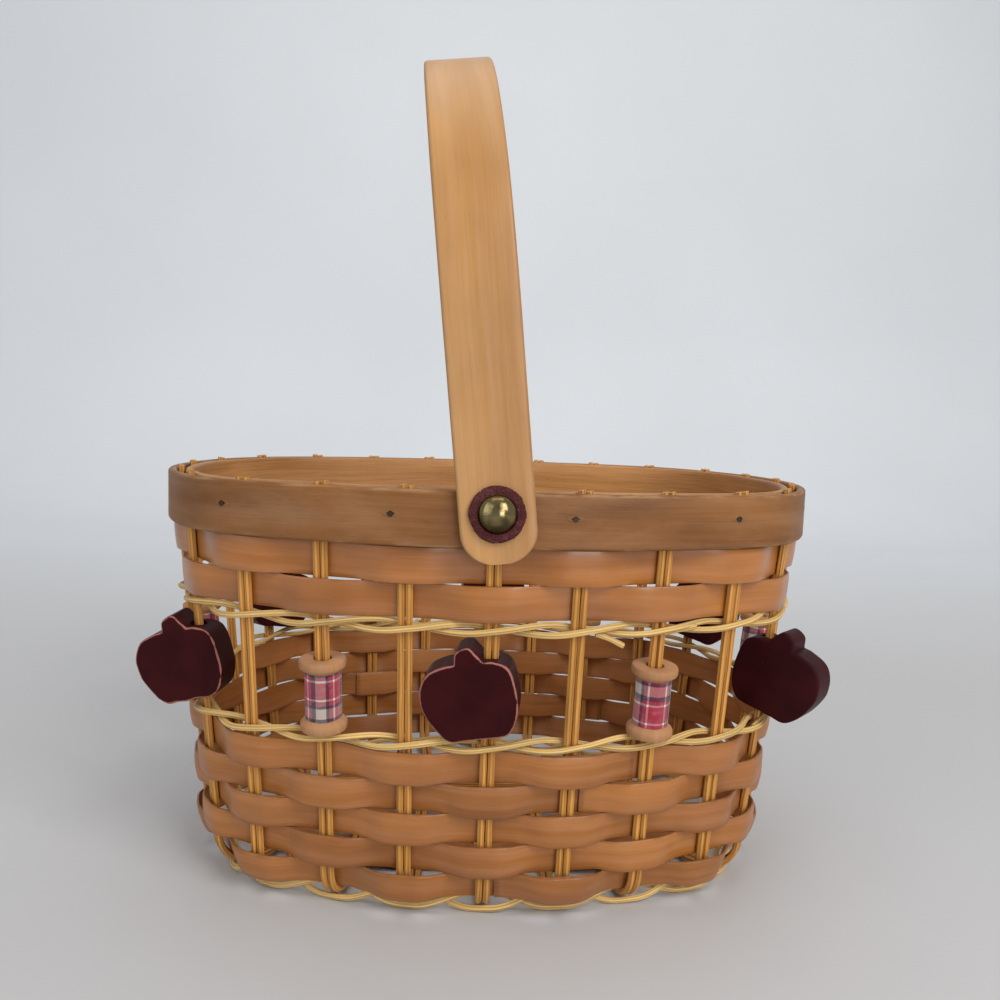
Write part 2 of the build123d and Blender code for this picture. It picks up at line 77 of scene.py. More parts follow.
# ---------------------------------------------------------------- sizes and colours
class BasketSizes(bpy.types.PropertyGroup):
    """Sizes of the woven body, the rim and the handle."""

    half_length: size_property("Half length", "Rim from the middle to an end", 0.132)
    half_depth: size_property("Half depth", "Rim from the middle to the front", 0.102)
    side_radius: size_property("Side radius", "Plan radius of the long sides", 0.230)
    corner_radius: size_property("Corner radius", "Plan radius of the corners", 0.058)
    end_radius: size_property("End radius", "Plan radius of the ends", 0.120)
    rim_height: size_property("Rim height", "Top of the rim", 0.1555)
    band_height: size_property("Band height", "Height of both rim bands", 0.019)
    outer_band: size_property("Outer band", "Thickness of the outer band", 0.0033)
    inner_band: size_property("Inner band", "Thickness of the inner band", 0.0030)
    band_gap: size_property("Band gap", "Room for the reeds between the bands", 0.0031)
    brad_drop: size_property("Brad drop", "From the rim's top to the brads", 0.0085)
    brad_offset: size_property("Brad offset", "From a reed pair to its brad", 0.0042)
    stations: IntProperty(name="Reed pairs", description="Reed pairs round the wall", default=24)
    lean: angle_property("Wall lean", "Lean of the wall", 5.0)
    bend_start: size_property("Bend start", "Height at which the reeds turn under", 0.0144)
    reed: size_property("Reed", "Diameter of a standing reed", 0.0026)
    reed_spacing: size_property("Reed spacing", "Between the two reeds of a pair", 0.00275)
    chip: size_property("Chip", "Thickness of a chip", 0.0010)
    upper_chip: size_property("Upper chip", "Width of the two upper chips", 0.0124)
    lower_chip: size_property("Lower chip", "Width of the five lower chips", 0.0110)
    weave_gap: size_property("Weave gap", "Between a chip and a reed", 0.00015)
    row_gap: size_property("Row gap", "Between two rows", 0.00035)
    twine: size_property("Twining reed", "Diameter of a twining reed", 0.0023)
    open_band: size_property("Open band", "Height between the two twined bands", 0.042)
    base_twine: angle_property("Base twine", "Where the lowest twining lies on the bend", 63.5)
    handle_width: size_property("Handle width", "Width of the handle strip", 0.0254)
    handle_thickness: size_property("Handle thickness", "Thickness of the strip", 0.0035)
    handle_leg: size_property("Handle leg", "Straight leg above the rivet", 0.067)
    handle_end: size_property("Handle end", "Strip below the rivet", 0.0165)
    handle_corner: size_property("Handle corner", "Radius of its rounded ends", 0.0105)
    handle_gap: size_property("Handle gap", "Between the rim and the strip", 0.0003)
    handle_lean: angle_property("Handle lean", "Lean at rest", 6.3)
    leather: size_property("Leather washer", "Diameter of the leather washer", 0.0188)
    leather_thickness: size_property("Leather", "Thickness of the leather", 0.0018)
    dome: size_property("Rivet dome", "Diameter of the rivet's dome", 0.0129)
    dome_height: size_property("Dome height", "Height of the rivet's dome", 0.0042)
    ornament_bore: size_property("Ornament bore", "Hole through apples and spools", 0.006)
    apple_thickness: size_property("Apple thickness", "Board that the apples are sawn from", 0.0127)
    apple_height: size_property("Apple height", "From foot to stem", 0.0344)
    apple_width: size_property("Apple width", "Scale of the sawn outline", 0.0337)
    spool_height: size_property("Spool height", "Height of a spool", 0.026)
    spool_diameter: size_property("Spool diameter", "Diameter of its flanges", 0.0164)
    flange: size_property("Flange", "Thickness of a flange", 0.0032)
    flange_bevel: size_property("Flange bevel", "Slope from flange to barrel", 0.0013)
    barrel_diameter: size_property("Barrel diameter", "Diameter between the flanges", 0.012)
    cloth: size_property("Cloth", "Thickness of the plaid cloth", 0.0004)


class BasketColours(bpy.types.PropertyGroup):
    """Colours of the basket's materials, in linear values."""

    chip: colour_property("Chip", "Lower chips", (0.345, 0.133, 0.038))
    upper_chip: colour_property("Upper chip", "Upper chips, more orange", (0.348, 0.122, 0.023))
    outer_rim: colour_property("Outer rim", "Weathered outer band", (0.200, 0.081, 0.024))
    inner_rim: colour_property("Inner rim", "Inner band", (0.44, 0.205, 0.070))
    handle: colour_property("Handle", "Honey-coloured handle", (0.425, 0.215, 0.076))
    reed: colour_property("Reed", "Standing reeds", (0.60, 0.28, 0.062))
    straw: colour_property("Straw", "Twining reeds", (0.70, 0.455, 0.165))
    paint: colour_property("Apple paint", "Dark burgundy paint", (0.029, 0.0036, 0.0044))
    worn: colour_property("Worn edge", "Where the paint is sanded off", (0.27, 0.105, 0.082))
    spool: colour_property("Spool wood", "Bare turned wood", (0.41, 0.205, 0.095))
    leather: colour_property("Leather", "Burgundy split leather", (0.090, 0.020, 0.021))
    brass: colour_property("Brass", "Aged brass", (0.26, 0.205, 0.095))
    floor: colour_property("Floor", "Pale floor", (0.51, 0.503, 0.503))
    backdrop: colour_property("Backdrop", "Pale wall", (0.73, 0.745, 0.765))


# ---------------------------------------------------------------- the wall
class Wall:
    """The leaning oval wall: where a reed stands at any station and height.

    Stations count reed pairs from the front's middle, anticlockwise from above.
    """

    def __init__(self, sizes):
        z = sizes
        self.z = z
        self.wall_inset = z.outer_band + z.band_gap / 2
        self.shoulder = z.rim_height - z.band_height - z.row_gap
        self.swing = z.reed / 2 + z.chip / 2 + z.weave_gap
        self.twine_swing = z.reed / 2 + z.twine / 2 + z.weave_gap
        self.floor = self.swing + z.chip / 2
        self.reed_step = z.reed + z.weave_gap
        self.lay_out_plan()
        self.lay_out_rows()

    def lay_out_plan(self):
        """A quarter of the oval is three tangent arcs: side, corner and end.

        The corner's centre is where circles of (side - corner) and (end - corner)
        radius round the other two centres cross.
        """
        z = self.z
        side_centre = z.side_radius - z.half_depth
        end_centre = z.half_length - z.end_radius
        side_reach = z.side_radius - z.corner_radius
        end_reach = z.end_radius - z.corner_radius
        apart = np.hypot(side_centre, end_centre)
        along = (side_reach**2 - end_reach**2 + apart**2) / (2 * apart)
        across = np.sqrt(side_reach**2 - along**2)
        corner_x = (along * end_centre + across * side_centre) / apart
        corner_y = (along * side_centre - across * end_centre) / apart - side_centre
        side_turn = np.arctan2(corner_x, corner_y + side_centre)
        end_turn = np.arctan2(corner_y, corner_x - end_centre)
        self.centres = np.array([[end_centre, 0], [corner_x, corner_y], [0, -side_centre]])
        self.radii = np.array([z.end_radius, z.corner_radius, z.side_radius])
        self.limits = np.array([end_turn, pi / 2 - side_turn])
        inset = self.wall_inset + self.shoulder / 2 * tan(z.lean)
        turns = np.array([side_turn, pi / 2 - side_turn - end_turn, end_turn])
        runs = (self.radii[::-1] - inset) * turns
        turns = np.concatenate([turns, turns[::-1]] * 2)
        runs = np.concatenate([runs, runs[::-1]] * 2)
        self.knot_turn = np.concatenate([[0], np.cumsum(turns)])
        self.knot_run = np.concatenate([[0], np.cumsum(runs)])
        self.loop = self.knot_run[-1]
        self.station_run = self.loop / z.stations

    def lay_out_rows(self):
        """Heights from the rim down: two chips, twining, the open band, twining, five chips."""
        z = self.z
        rise, low_rise = z.upper_chip * cos(z.lean), z.lower_chip * cos(z.lean)
        self.twine_half = z.twine / 2 + 2 * z.weave_gap
        twine_reach = self.twine_half + z.twine / 2
        self.upper_twine = self.shoulder - 2 * (rise + z.row_gap) - twine_reach
        self.middle_twine = self.upper_twine - z.open_band
        low_top = self.middle_twine - twine_reach - z.row_gap
        self.rows = [(self.shoulder - rise / 2 - i * (rise + z.row_gap), z.upper_chip) for i in range(2)]
        self.rows += [(low_top - low_rise / 2 - i * (low_rise + z.row_gap), z.lower_chip) for i in range(5)]

    def normal(self, station):
        """The outward normal's angle: piecewise linear in the run along the wall."""
        run = np.mod(np.asarray(station, float) * self.station_run, self.loop)
        return np.interp(run, self.knot_run, self.knot_turn) - pi / 2

    def point(self, normal, inset, height):
        """The arc's centre for this normal, plus (radius - inset) along the normal."""
        normal, inset, height = np.broadcast_arrays(normal, inset, height)
        c, s = np.cos(normal), np.sin(normal)
        arc = np.digitize(np.arctan2(np.abs(s), np.abs(c)), self.limits)
        reach = self.radii[arc] - inset
        x = np.where(c < 0, -1, 1) * self.centres[arc, 0] + reach * c
        y = np.where(s < 0, -1, 1) * self.centres[arc, 1] + reach * s
        return np.stack([x, y, height], -1)

    def end_share(self, station):
        """1 at the pairs that run lengthwise under the floor, 0 at the others."""
        count = self.z.stations
        from_front = np.abs(np.mod(np.asarray(station) + count / 2, count) - count / 2)
        return np.clip(2 - np.abs(from_front - count / 4), 0, 1)

    def floor_level(self, station):
        return self.floor + self.end_share(station) * self.reed_step

    def bend_radius(self, station):
        return (self.z.bend_start - self.floor_level(station)) / (1 - sin(self.z.lean))

    def at(self, station, height):
        """Inset and slope: a straight leaning line, and below the bend's start an arc to the floor."""
        lean = self.z.lean
        radius = self.bend_radius(station)
        straight = self.wall_inset + np.maximum(self.shoulder - height, 0) * tan(lean)
        drop = np.arcsin(np.clip((self.floor_level(station) + radius - height) / radius, -1, 1))
        start = self.wall_inset + (self.shoulder - self.z.bend_start) * tan(lean)
        low = height < self.z.bend_start
        inset = np.where(low, start + radius * (cos(lean) - np.cos(drop)), straight)
        return inset, np.where(low, drop, lean)


# ---------------------------------------------------------------- numbers
def wobble(share, seed, waves=9):
    """A smooth closed curve of about unit height: sines of 1 to waves turns a loop, random phases."""
    rng = np.random.default_rng(seed)
    k = np.arange(1, waves + 1)
    weight = rng.normal(size=waves) / np.sqrt(k)
    angle = TAU * np.asarray(share)[..., None] * k + rng.uniform(0, TAU, waves)
    return (weight * np.sin(angle)).sum(-1) / np.sqrt((weight**2).sum() / 2 + 1e-9) / 2


def crest(station, half_flat):
    """+1 at even stations and -1 at odd ones: flat for half_flat of a station, a cosine between."""
    phase = np.abs(np.mod(np.asarray(station) + 1, 2) - 1)
    return np.cos(pi * np.clip((phase - half_flat) / (1 - 2 * half_flat), 0, 1))


def smooth_step(x):
    """3x^2 - 2x^3 between 0 and 1."""
    x = np.clip(x, 0, 1)
    return x * x * (3 - 2 * x)


def unit(v):
    return v / np.linalg.norm(v, axis=-1, keepdims=True)


def closed(values):
    """The values with the first one again at the end."""
    return np.concatenate([values, values[:1]])


def shares(count):
    """Even shares of a loop, from 0 and short of 1."""
    return np.arange(count) / count


def round_angles(count):
    return np.linspace(0, TAU, count, endpoint=False)


def pairs(a, b):
    """Two arrays spread over one grid, as its (a, b) pairs."""
    return np.stack(np.broadcast_arrays(a, b), -1)


def run_along(line):
    """The run from a line's first point to each of its points."""
    return np.concatenate([[0], np.cumsum(np.linalg.norm(np.diff(line, axis=0), axis=1))])


# ---------------------------------------------------------------- meshes
def surface(name, grid, uv, wrap_u=False, wrap_v=False, caps=False, sharp=None, values=None):
    """A quad mesh through a grid of points: quad (i, j) joins points i, i+1 and j, j+1.

    A wrapped direction joins its last line to its first. Caps close both ends of u
    with one face each. values holds named numbers or vectors, one per point.
    """
    n, m = grid.shape[:2]
    i = np.arange(n if wrap_u else n - 1)[:, None]
    j = np.arange(m if wrap_v else m - 1)[None, :]
    low_i, low_j = np.broadcast_arrays(i, j)
    corners = [(0, 0), (1, 0), (1, 1), (0, 1)]
    faces = np.stack([((low_i + a) % n) * m + (low_j + b) % m for a, b in corners], -1).reshape(-1, 4)
    face_uv = np.stack([uv[low_i + a, low_j + b] for a, b in corners], 2).reshape(-1, 2)
    polygons = faces.tolist()
    if caps:
        polygons.append(list(range(m))[::-1])
        polygons.append([(n - 1) * m + k for k in range(m)])
        face_uv = np.concatenate([face_uv, uv[0, :m][::-1], uv[n - 1, :m]])
    mesh = bpy.data.meshes.new(name)
    mesh.from_pydata(grid.reshape(-1, 3).tolist(), [], polygons)
    layer = mesh.uv_layers.new(name="Along")
    layer.data.foreach_set("uv", face_uv.astype(np.float32).ravel())
    for key, value in (values or {}).items():
        value = np.asarray(value, np.float32)
        kind, field = ("FLOAT_VECTOR", "vector") if value.ndim == 3 else ("FLOAT", "value")
        flat = np.broadcast_to(value, (n, m, *value.shape[2:])).ravel()
        mesh.attributes.new(key, kind, "POINT").data.foreach_set(field, flat)
    if (wrap_u or caps) and wrap_v:
        work = bmesh.new()
        work.from_mesh(mesh)
        bmesh.ops.recalc_face_normals(work, faces=work.faces)
        work.to_mesh(mesh)
        work.free()
    mesh.polygons.foreach_set("use_smooth", [True] * len(mesh.polygons))
    if sharp is not None:
        mesh.set_sharp_from_angle(angle=radians(sharp))
    piece = bpy.data.objects.new(name, mesh)
    bpy.context.scene.collection.objects.link(piece)
    return piece


def rounded_bar(width, thickness, radius, side_points=7, round_points=4):
    """A rounded rectangle as a closed loop of (across, out) points."""
    angles = np.linspace(0, pi / 2, round_points)
    corner = radius * np.stack([np.cos(angles), np.sin(angles)], -1)
    w, t = width / 2 - radius, thickness / 2 - radius
    spans = np.linspace(1, -1, side_points)[1:-1]
    top = np.stack([spans * w, np.full_like(spans, thickness / 2)], -1)
    return np.concatenate([
        corner + [w, t],
        top,
        corner[::-1] * [-1, 1] + [-w, t],
        corner * [-1, -1] + [-w, -t],
        top[::-1] * [1, -1],
        corner[::-1] * [1, -1] + [w, -t],
    ])


def bar_across(across, loop):
    """The run across a bar's face, set apart by a step on its back face."""
    back_step = 0.4
    across = np.concatenate([across, across[..., :1]], -1)
    return across + np.where(closed(loop[:, 1]) > 0, 0.0, back_step)


def fillet_path(points, radii, spacing):
    """Straight runs joined by arcs: each corner's arc starts radius * tan(turn / 2) from it."""
    points = [np.asarray(p, float) for p in points]
    parts = [points[0][None]]
    for i in range(1, len(points) - 1):
        back, on = unit(points[i - 1] - points[i]), unit(points[i + 1] - points[i])
        turn = pi - np.arccos(np.clip(back @ on, -1, 1))
        if turn < 1e-4:
            continue
        radius = radii[i - 1]
        inward, along = unit(back + on), unit(on - back)
        centre = points[i] + inward * radius / np.cos(turn / 2)
        count = max(3, int(np.ceil(radius * turn / spacing)) + 1)
        angle = np.linspace(-turn / 2, turn / 2, count)[:, None]
        parts.append(centre + radius * (-inward * np.cos(angle) + along * np.sin(angle)))
    parts.append(points[-1][None])
    line = np.concatenate(parts)
    run = run_along(line)
    even = np.linspace(0, run[-1], int(run[-1] / spacing) + 1)
    return np.stack([np.interp(even, run, line[:, k]) for k in range(3)], -1), even


def tube(line, run, reference, radius, around):
    """Circles of the given radius round a line: centre + radius * (side * cos + up * sin)."""
    ahead = unit(np.gradient(line, axis=0))
    side = unit(reference - (reference * ahead).sum(-1, keepdims=True) * ahead)
    up = np.cross(ahead, side)
    angle = round_angles(around)
    spread = side[:, None] * np.cos(angle)[None, :, None] + up[:, None] * np.sin(angle)[None, :, None]
    grid = line[:, None] + spread * radius[..., None]
    return grid, pairs(run[:, None], np.linspace(0, 1, around + 1))


def revolve(profile, base, axis, side, around):
    """Points (radius, height) of a closed profile carried round an axis."""
    across = np.cross(axis, side)
    angle = round_angles(around)[:, None, None]
    spoke = side * np.cos(angle) + across * np.sin(angle)
    return base + spoke * profile[None, :, :1] + axis * profile[None, :, 1:]


def curve_through(points, per):
    """A Catmull-Rom curve through the points, per samples a span, ends included."""
    p = np.asarray(points, float)
    p = np.concatenate([2 * p[:1] - p[1:2], p, 2 * p[-1:] - p[-2:-1]])
    t = np.linspace(0, 1, per, endpoint=False)[None, :, None]
    a, b, c, d = (p[k:len(p) - 3 + k][:, None] for k in range(4))
    bend = (2 * a - 5 * b + 4 * c - d) * t**2 + (3 * b - a - 3 * c + d) * t**3
    line = 0.5 * (2 * b + (c - a) * t + bend)
    return np.concatenate([line.reshape(-1, 2), p[-2:-1]])


def dress(piece, material, body, slot, *nodes):
    """Gives a piece its material and its body, and hides the solids it stands for."""
    piece.data.materials.append(material)
    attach(piece, body)
    if nodes:
        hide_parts(*nodes)


def coat(node_name, material):
    """Gives a solid that stays in view its material."""
    materials = FRAME["nodes"][node_name].data.materials
    materials.clear()
    materials.append(material)


# ---------------------------------------------------------------- shader parts
class Value:
    """A node's output that takes +, - and * as Math nodes of its tree."""

    def __init__(self, nodes, socket):
        self.nodes, self.socket = nodes, socket

    def __add__(self, other):
        return self.nodes.math("ADD", self, other)

    def __radd__(self, other):
        return self.nodes.math("ADD", other, self)

    def __sub__(self, other):
        return self.nodes.math("SUBTRACT", self, other)

    def __rsub__(self, other):
        return self.nodes.math("SUBTRACT", other, self)

    def __mul__(self, other):
        return self.nodes.math("MULTIPLY", self, other)


class Nodes:
    """Short calls to add and join nodes in one tree. Each gives a Value, unless it says otherwise."""

    def __init__(self, tree):
        self.tree = tree

    def fill(self, node, inputs):
        """Links a node's inputs to Values, and sets the others to plain numbers and colours."""
        for key, value in inputs.items():
            if isinstance(value, Value):
                self.tree.links.new(value.socket, node.inputs[key])
            else:
                node.inputs[key].default_value = value

    def node(self, kind, inputs=None, **settings):
        """A new node, given back as it is."""
        node = self.tree.nodes.new(kind)
        for key, value in settings.items():
            setattr(node, key, value)
        self.fill(node, inputs or {})
        return node

    def add(self, kind, inputs=None, output=0, **settings):
        return Value(self, self.node(kind, inputs, **settings).outputs[output])

    def values(self, node):
        """All of a node's outputs, by name."""
        return {output.name: Value(self, output) for output in node.outputs}

    def math(self, operation, a, b=0.0):
        return self.add("ShaderNodeMath", {0: a, 1: b}, operation=operation)

    def scaled(self, vector, x, y, z):
        return self.add("ShaderNodeVectorMath", {0: vector, 1: (x, y, z)}, operation="MULTIPLY")

    def part(self, vector, axis):
        return self.add("ShaderNodeSeparateXYZ", {0: vector}, axis)

    def noise(self, vector, scale=1.0, detail=2.0, rough=0.5):
        inputs = {"Vector": vector, "Scale": scale, "Detail": detail, "Roughness": rough}
        return self.add("ShaderNodeTexNoise", inputs, "Fac")

    def ramp(self, value, low, high, to_low=0.0, to_high=1.0):
        """An S-curve from to_low, where the value is low, to to_high, where it is high."""
        inputs = {"Value": value, "From Min": low, "From Max": high, "To Min": to_low, "To Max": to_high}
        return self.add("ShaderNodeMapRange", inputs, interpolation_type="SMOOTHSTEP")

    def mix(self, factor, a, b, blend="MIX"):
        """Colour a where the factor is 0 and b where it is 1."""
        return self.add("ShaderNodeMix", {0: factor, 6: a, 7: b}, 2, data_type="RGBA", blend_type=blend)

    def tinted(self, colour, value, saturation=1.0, hue=0.5):
        inputs = {"Color": colour, "Value": value, "Saturation": saturation, "Hue": hue}
        return self.add("ShaderNodeHueSaturation", inputs)

    def bump(self, height, strength, distance):
        inputs = {"Height": height, "Strength": strength, "Distance": distance}
        return self.add("ShaderNodeBump", inputs, "Normal")

    def along(self):
        """The piece's own map: X metres along it, Y metres across it."""
        return self.add("ShaderNodeUVMap", uv_map="Along")

    def place(self):
        return self.add("ShaderNodeTexCoord", output="Object")

    def edge(self):
        """The edge attribute: 1 on a piece's rubbed corners, 0 elsewhere."""
        return self.add("ShaderNodeAttribute", attribute_name="edge", output="Fac")

    def group(self, maker, inputs):
        """The outputs of a shared node group, which is built when it is first asked for."""
        name = maker.__name__
        tree = bpy.data.node_groups.get(name) or maker(name)
        return self.values(self.node("ShaderNodeGroup", inputs, node_tree=tree))


def rgba(colour, factor=1.0):
    return (*(factor * c for c in colour[:3]), 1.0)


def new_group(name, inputs, outputs):
    """An empty node group. inputs are (name, default) pairs and outputs are (name, kind) pairs."""
    group = bpy.data.node_groups.new(name, "ShaderNodeTree")
    for label, default in inputs:
        kind = {type(None): "Vector", float: "Float"}.get(type(default), "Color")
        socket = group.interface.new_socket(label, in_out="INPUT", socket_type=f"NodeSocket{kind}")
        if default is not None:
            socket.default_value = default
    for label, kind in outputs:
        group.interface.new_socket(label, in_out="OUTPUT", socket_type=f"NodeSocket{kind}")
    nodes = Nodes(group)
    return group, nodes, nodes.values(nodes.node("NodeGroupInput")), nodes.node("NodeGroupOutput")


def wood_grain(name):
    """Wood grain: X runs along the fibres. Broad tone, streaks and fine fibres are stretched noises."""
    amounts = [("Tone", 0.35), ("Streaks", 0.3), ("Fibres", 0.3), ("Pores", 0.3)]
    group, n, given, out = new_group(
        name,
        [("Vector", None), ("Colour", rgba((0.5, 0.3, 0.1))), *amounts],
        [("Color", "Color"), ("Height", "Float"), ("Roughness", "Float")],
    )
    v = given["Vector"]
    broad = n.noise(n.scaled(v, 9, 30, 30), 1, 3, 0.55)
    patch = n.noise(n.scaled(v, 30, 70, 70), 1, 2, 0.5)
    warp = n.add("ShaderNodeTexNoise", {"Vector": n.scaled(v, 14, 40, 40), "Scale": 1.0}, "Color")
    bent = {0: n.scaled(v, 7, 330, 330), 1: n.scaled(warp, 0.6, 2.2, 2.2)}
    streak = n.noise(n.add("ShaderNodeVectorMath", bent, operation="ADD"), 1, 3, 0.6)
    fibre = n.noise(n.scaled(v, 36, 1500, 1500), 1, 3, 0.7)
    pore = n.ramp(n.noise(n.scaled(v, 330, 2300, 2300), 1, 1, 0.4), 0.66, 0.74)
    tone = (broad - 0.5) * 2.4 + (patch - 0.5)
    value = 1.0 + tone * given["Tone"]
    value += n.ramp(streak, 0.3, 0.7, -0.5, 0.5) * given["Streaks"]
    value += n.ramp(fibre, 0.25, 0.75, -0.5, 0.5) * given["Fibres"]
    value -= pore * given["Pores"]
    saturation = n.ramp(streak, 0.25, 0.75, 1.05, 0.96)
    hue = n.ramp(broad, 0.3, 0.7, 0.4975, 0.502)
    n.fill(out, {
        "Color": n.tinted(given["Colour"], value, saturation, hue),
        "Height": fibre * 0.5 + streak * 0.4 - pore * 0.8,
        "Roughness": n.ramp(patch, 0.3, 0.7, 0.0, 0.12),
    })
    return group


def reed_ridges(name):
    """Ridges along a split reed: a wave of the turn round it, bent by noise, with grooves darkened by painted
    shade.
    """
    colours = [("Colour", rgba((0.6, 0.3, 0.1))), ("Groove", rgba((0.2, 0.08, 0.02)))]
    group, n, given, out = new_group(
        name,
        [("Vector", None), ("Ridges", 7.0), *colours, ("Depth", 0.8)],
        [("Color", "Color"), ("Height", "Float")],
    )
    v = given["Vector"]
    drift = n.noise(n.scaled(v, 22, 1.5, 1), 1, 2, 0.5)
    turn = n.part(v, "Y") + (drift - 0.5) * 0.22
    lift = n.ramp(n.math("SINE", turn * given["Ridges"] * TAU), -0.95, 0.1)
    fine = n.noise(n.scaled(v, 90, 34, 1), 1, 3, 0.65)
    tone = n.noise(n.scaled(v, 26, 3, 1), 1, 3, 0.6)
    # Painted shade in the grooves: the groove colour is mixed in where the ridge wave is low, more strongly
    # in some patches.
    patchy_groove_shade = n.ramp(n.noise(n.scaled(v, 14, 5, 1), 1, 2), 0.3, 0.62, 0.25, 1.0)
    shade = (1.0 - lift) * patchy_groove_shade * given["Depth"]
    reed = n.tinted(given["Colour"], n.ramp(tone, 0.25, 0.75, 0.78, 1.16) + (fine - 0.5) * 0.5)
    n.fill(out, {"Color": n.mix(shade, reed, given["Groove"]), "Height": lift + fine * 0.35})
    return group


def nail_mark(name):
    """A nail's mark: a dark slit along X, a pale lip and a soft stain, from the distance to it."""
    group, n, given, out = new_group(
        name,
        [("Offset", None), ("Colour", rgba((0.5, 0.3, 0.1)))],
        [("Color", "Color"), ("Height", "Float")],
    )
    offset = given["Offset"]
    jitter = n.noise(n.scaled(offset, 1.3, 1.3, 1.3), 1, 2)
    flat = n.scaled(offset, 0.62, 1.7, 0)
    slit = n.add("ShaderNodeVectorMath", {0: flat}, "Value", operation="LENGTH") + (jitter - 0.5) * 0.6
    dark = n.ramp(slit, 0.55, 0.95, 1, 0)
    lip = n.ramp(slit, 0.8, 1.1) * n.ramp(slit, 1.25, 1.9, 1, 0)
    stain = n.ramp(slit, 0.9, 2.6, 0.45, 0)
    colour = n.mix(stain, given["Colour"], rgba((0.12, 0.055, 0.02)))
    colour = n.mix(lip * 0.2, colour, rgba((0.34, 0.18, 0.08)))
    n.fill(out, {"Color": n.mix(dark * 0.9, colour, rgba((0.02, 0.011, 0.006))), "Height": lip * 0.5 - dark})
    return group


RED, DEEP_RED = (0.38, 0.012, 0.040), (0.36, 0.010, 0.036)
WHITE, NAVY, SAND = (0.85, 0.72, 0.70), (0.008, 0.010, 0.035), (0.52, 0.42, 0.37)
PLAID_STRIPES = [
    (0.00, RED), (0.30, WHITE), (0.345, DEEP_RED), (0.42, NAVY), (0.52, SAND),
    (0.74, NAVY), (0.81, RED), (0.90, WHITE), (0.945, DEEP_RED),
]


def plaid_cloth(name):
    """Woven plaid: one set of stripes by X and by Y, shown by turns over and under each thread.

    Where two stripes cross, the cloth leans towards the darker one.
    """
    thread_pitch = 0.0005
    group, n, given, out = new_group(
        name, [("Vector", None), ("Repeat", 0.0168)], [("Color", "Color"), ("Height", "Float")]
    )
    fray = n.add("ShaderNodeTexNoise", {"Vector": given["Vector"], "Scale": 2600.0, "Detail": 1.0}, "Color")
    shift = n.scaled(fray, 0.00028, 0.00028, 0)
    moved = n.add("ShaderNodeVectorMath", {0: given["Vector"], 1: shift}, operation="ADD")
    bands, threads = [], []
    for axis, start in (("X", 0.12), ("Y", 0.42)):
        run = n.part(moved, axis)
        place = n.math("DIVIDE", run, given["Repeat"]) + start
        ramp = n.node("ShaderNodeValToRGB", {0: n.math("FRACT", place)})
        ramp.color_ramp.interpolation = "CONSTANT"
        elements = ramp.color_ramp.elements
        while len(elements) < len(PLAID_STRIPES):
            elements.new(0.5)
        for element, (position, colour) in zip(elements, PLAID_STRIPES):
            element.position = position
            element.color = rgba(colour)
        bands.append(Value(n, ramp.outputs[0]))
        threads.append(run * (TAU / thread_pitch))
    weave = n.math("SINE", threads[0]) * n.math("SINE", threads[1])
    twill = n.math("SINE", threads[0] + threads[1])
    woven = n.mix(n.ramp(twill + weave * 0.6, -0.5, 0.5, 0.12, 0.88), *bands)
    darker = n.mix(0.6, woven, n.mix(0.5, *bands), "DARKEN")
    crossing = n.mix(1.0, *bands, "DARKEN")
    n.fill(out, {"Color": n.mix(0.4, darker, crossing), "Height": weave * 0.5 + twill * 0.3})
    return group


# ---------------------------------------------------------------- materials
def new_material(name):
    """A material with only its Principled shader and output, and its node calls."""
    material = bpy.data.materials.new(name)
    material.use_nodes = True
    tree = material.node_tree
    tree.nodes.clear()
    n = Nodes(tree)
    shader = n.node("ShaderNodeBsdfPrincipled")
    n.node("ShaderNodeOutputMaterial", {"Surface": Value(n, shader.outputs[0])})
    return material, n, shader


def wood(name, colour, tone, streaks, fibres, pores, rough, coat_weight=0.0, bump=0.25, edge=0.35):
    """A satin wood finish. Its edges are darker: partly dirt on corners that hands have rubbed, partly
    painted shade in the gaps between chip rows.

    With no edge, the grain follows the object's X instead of the piece's own map.
    """
    material, n, shader = new_material(name)
    vector = n.along() if edge else n.place()
    amounts = {"Tone": tone, "Streaks": streaks, "Fibres": fibres, "Pores": pores}
    grain = n.group(wood_grain, {"Vector": vector, "Colour": rgba(colour), **amounts})
    result = grain["Color"]
    if edge:
        # Painted shade and dirt: the edge attribute, broken up by noise, darkens the edges towards 0.38 of
        # the colour; on the chips this stands in for the shade between the rows.
        edge_dirt_and_shade = n.edge() * n.ramp(n.noise(n.scaled(vector, 260, 900, 1), 1, 3), 0.35, 0.65, 0.35, 1.0)
        result = n.mix(edge_dirt_and_shade * edge, result, rgba(colour, 0.38))
    n.fill(shader, {
        "Base Color": result,
        "Roughness": grain["Roughness"] + rough,
        "Normal": n.bump(grain["Height"], bump, 0.0006),
        "Specular IOR Level": 0.3,
        "Coat Weight": coat_weight,
        "Coat Roughness": 0.3,
    })
    return material


def ridged_reed(name, colour, groove, ridges, depth, rough):
    """A split reed: ridges along it, with painted shade in its grooves."""
    material, n, shader = new_material(name)
    colours = {"Colour": rgba(colour), "Groove": rgba(groove)}
    look = n.group(reed_ridges, {"Vector": n.along(), "Ridges": ridges, "Depth": depth, **colours})
    n.fill(shader, {
        "Base Color": look["Color"],
        "Normal": n.bump(look["Height"], 0.7, 0.0004),
        "Roughness": rough,
        "Specular IOR Level": 0.3,
    })
    return material


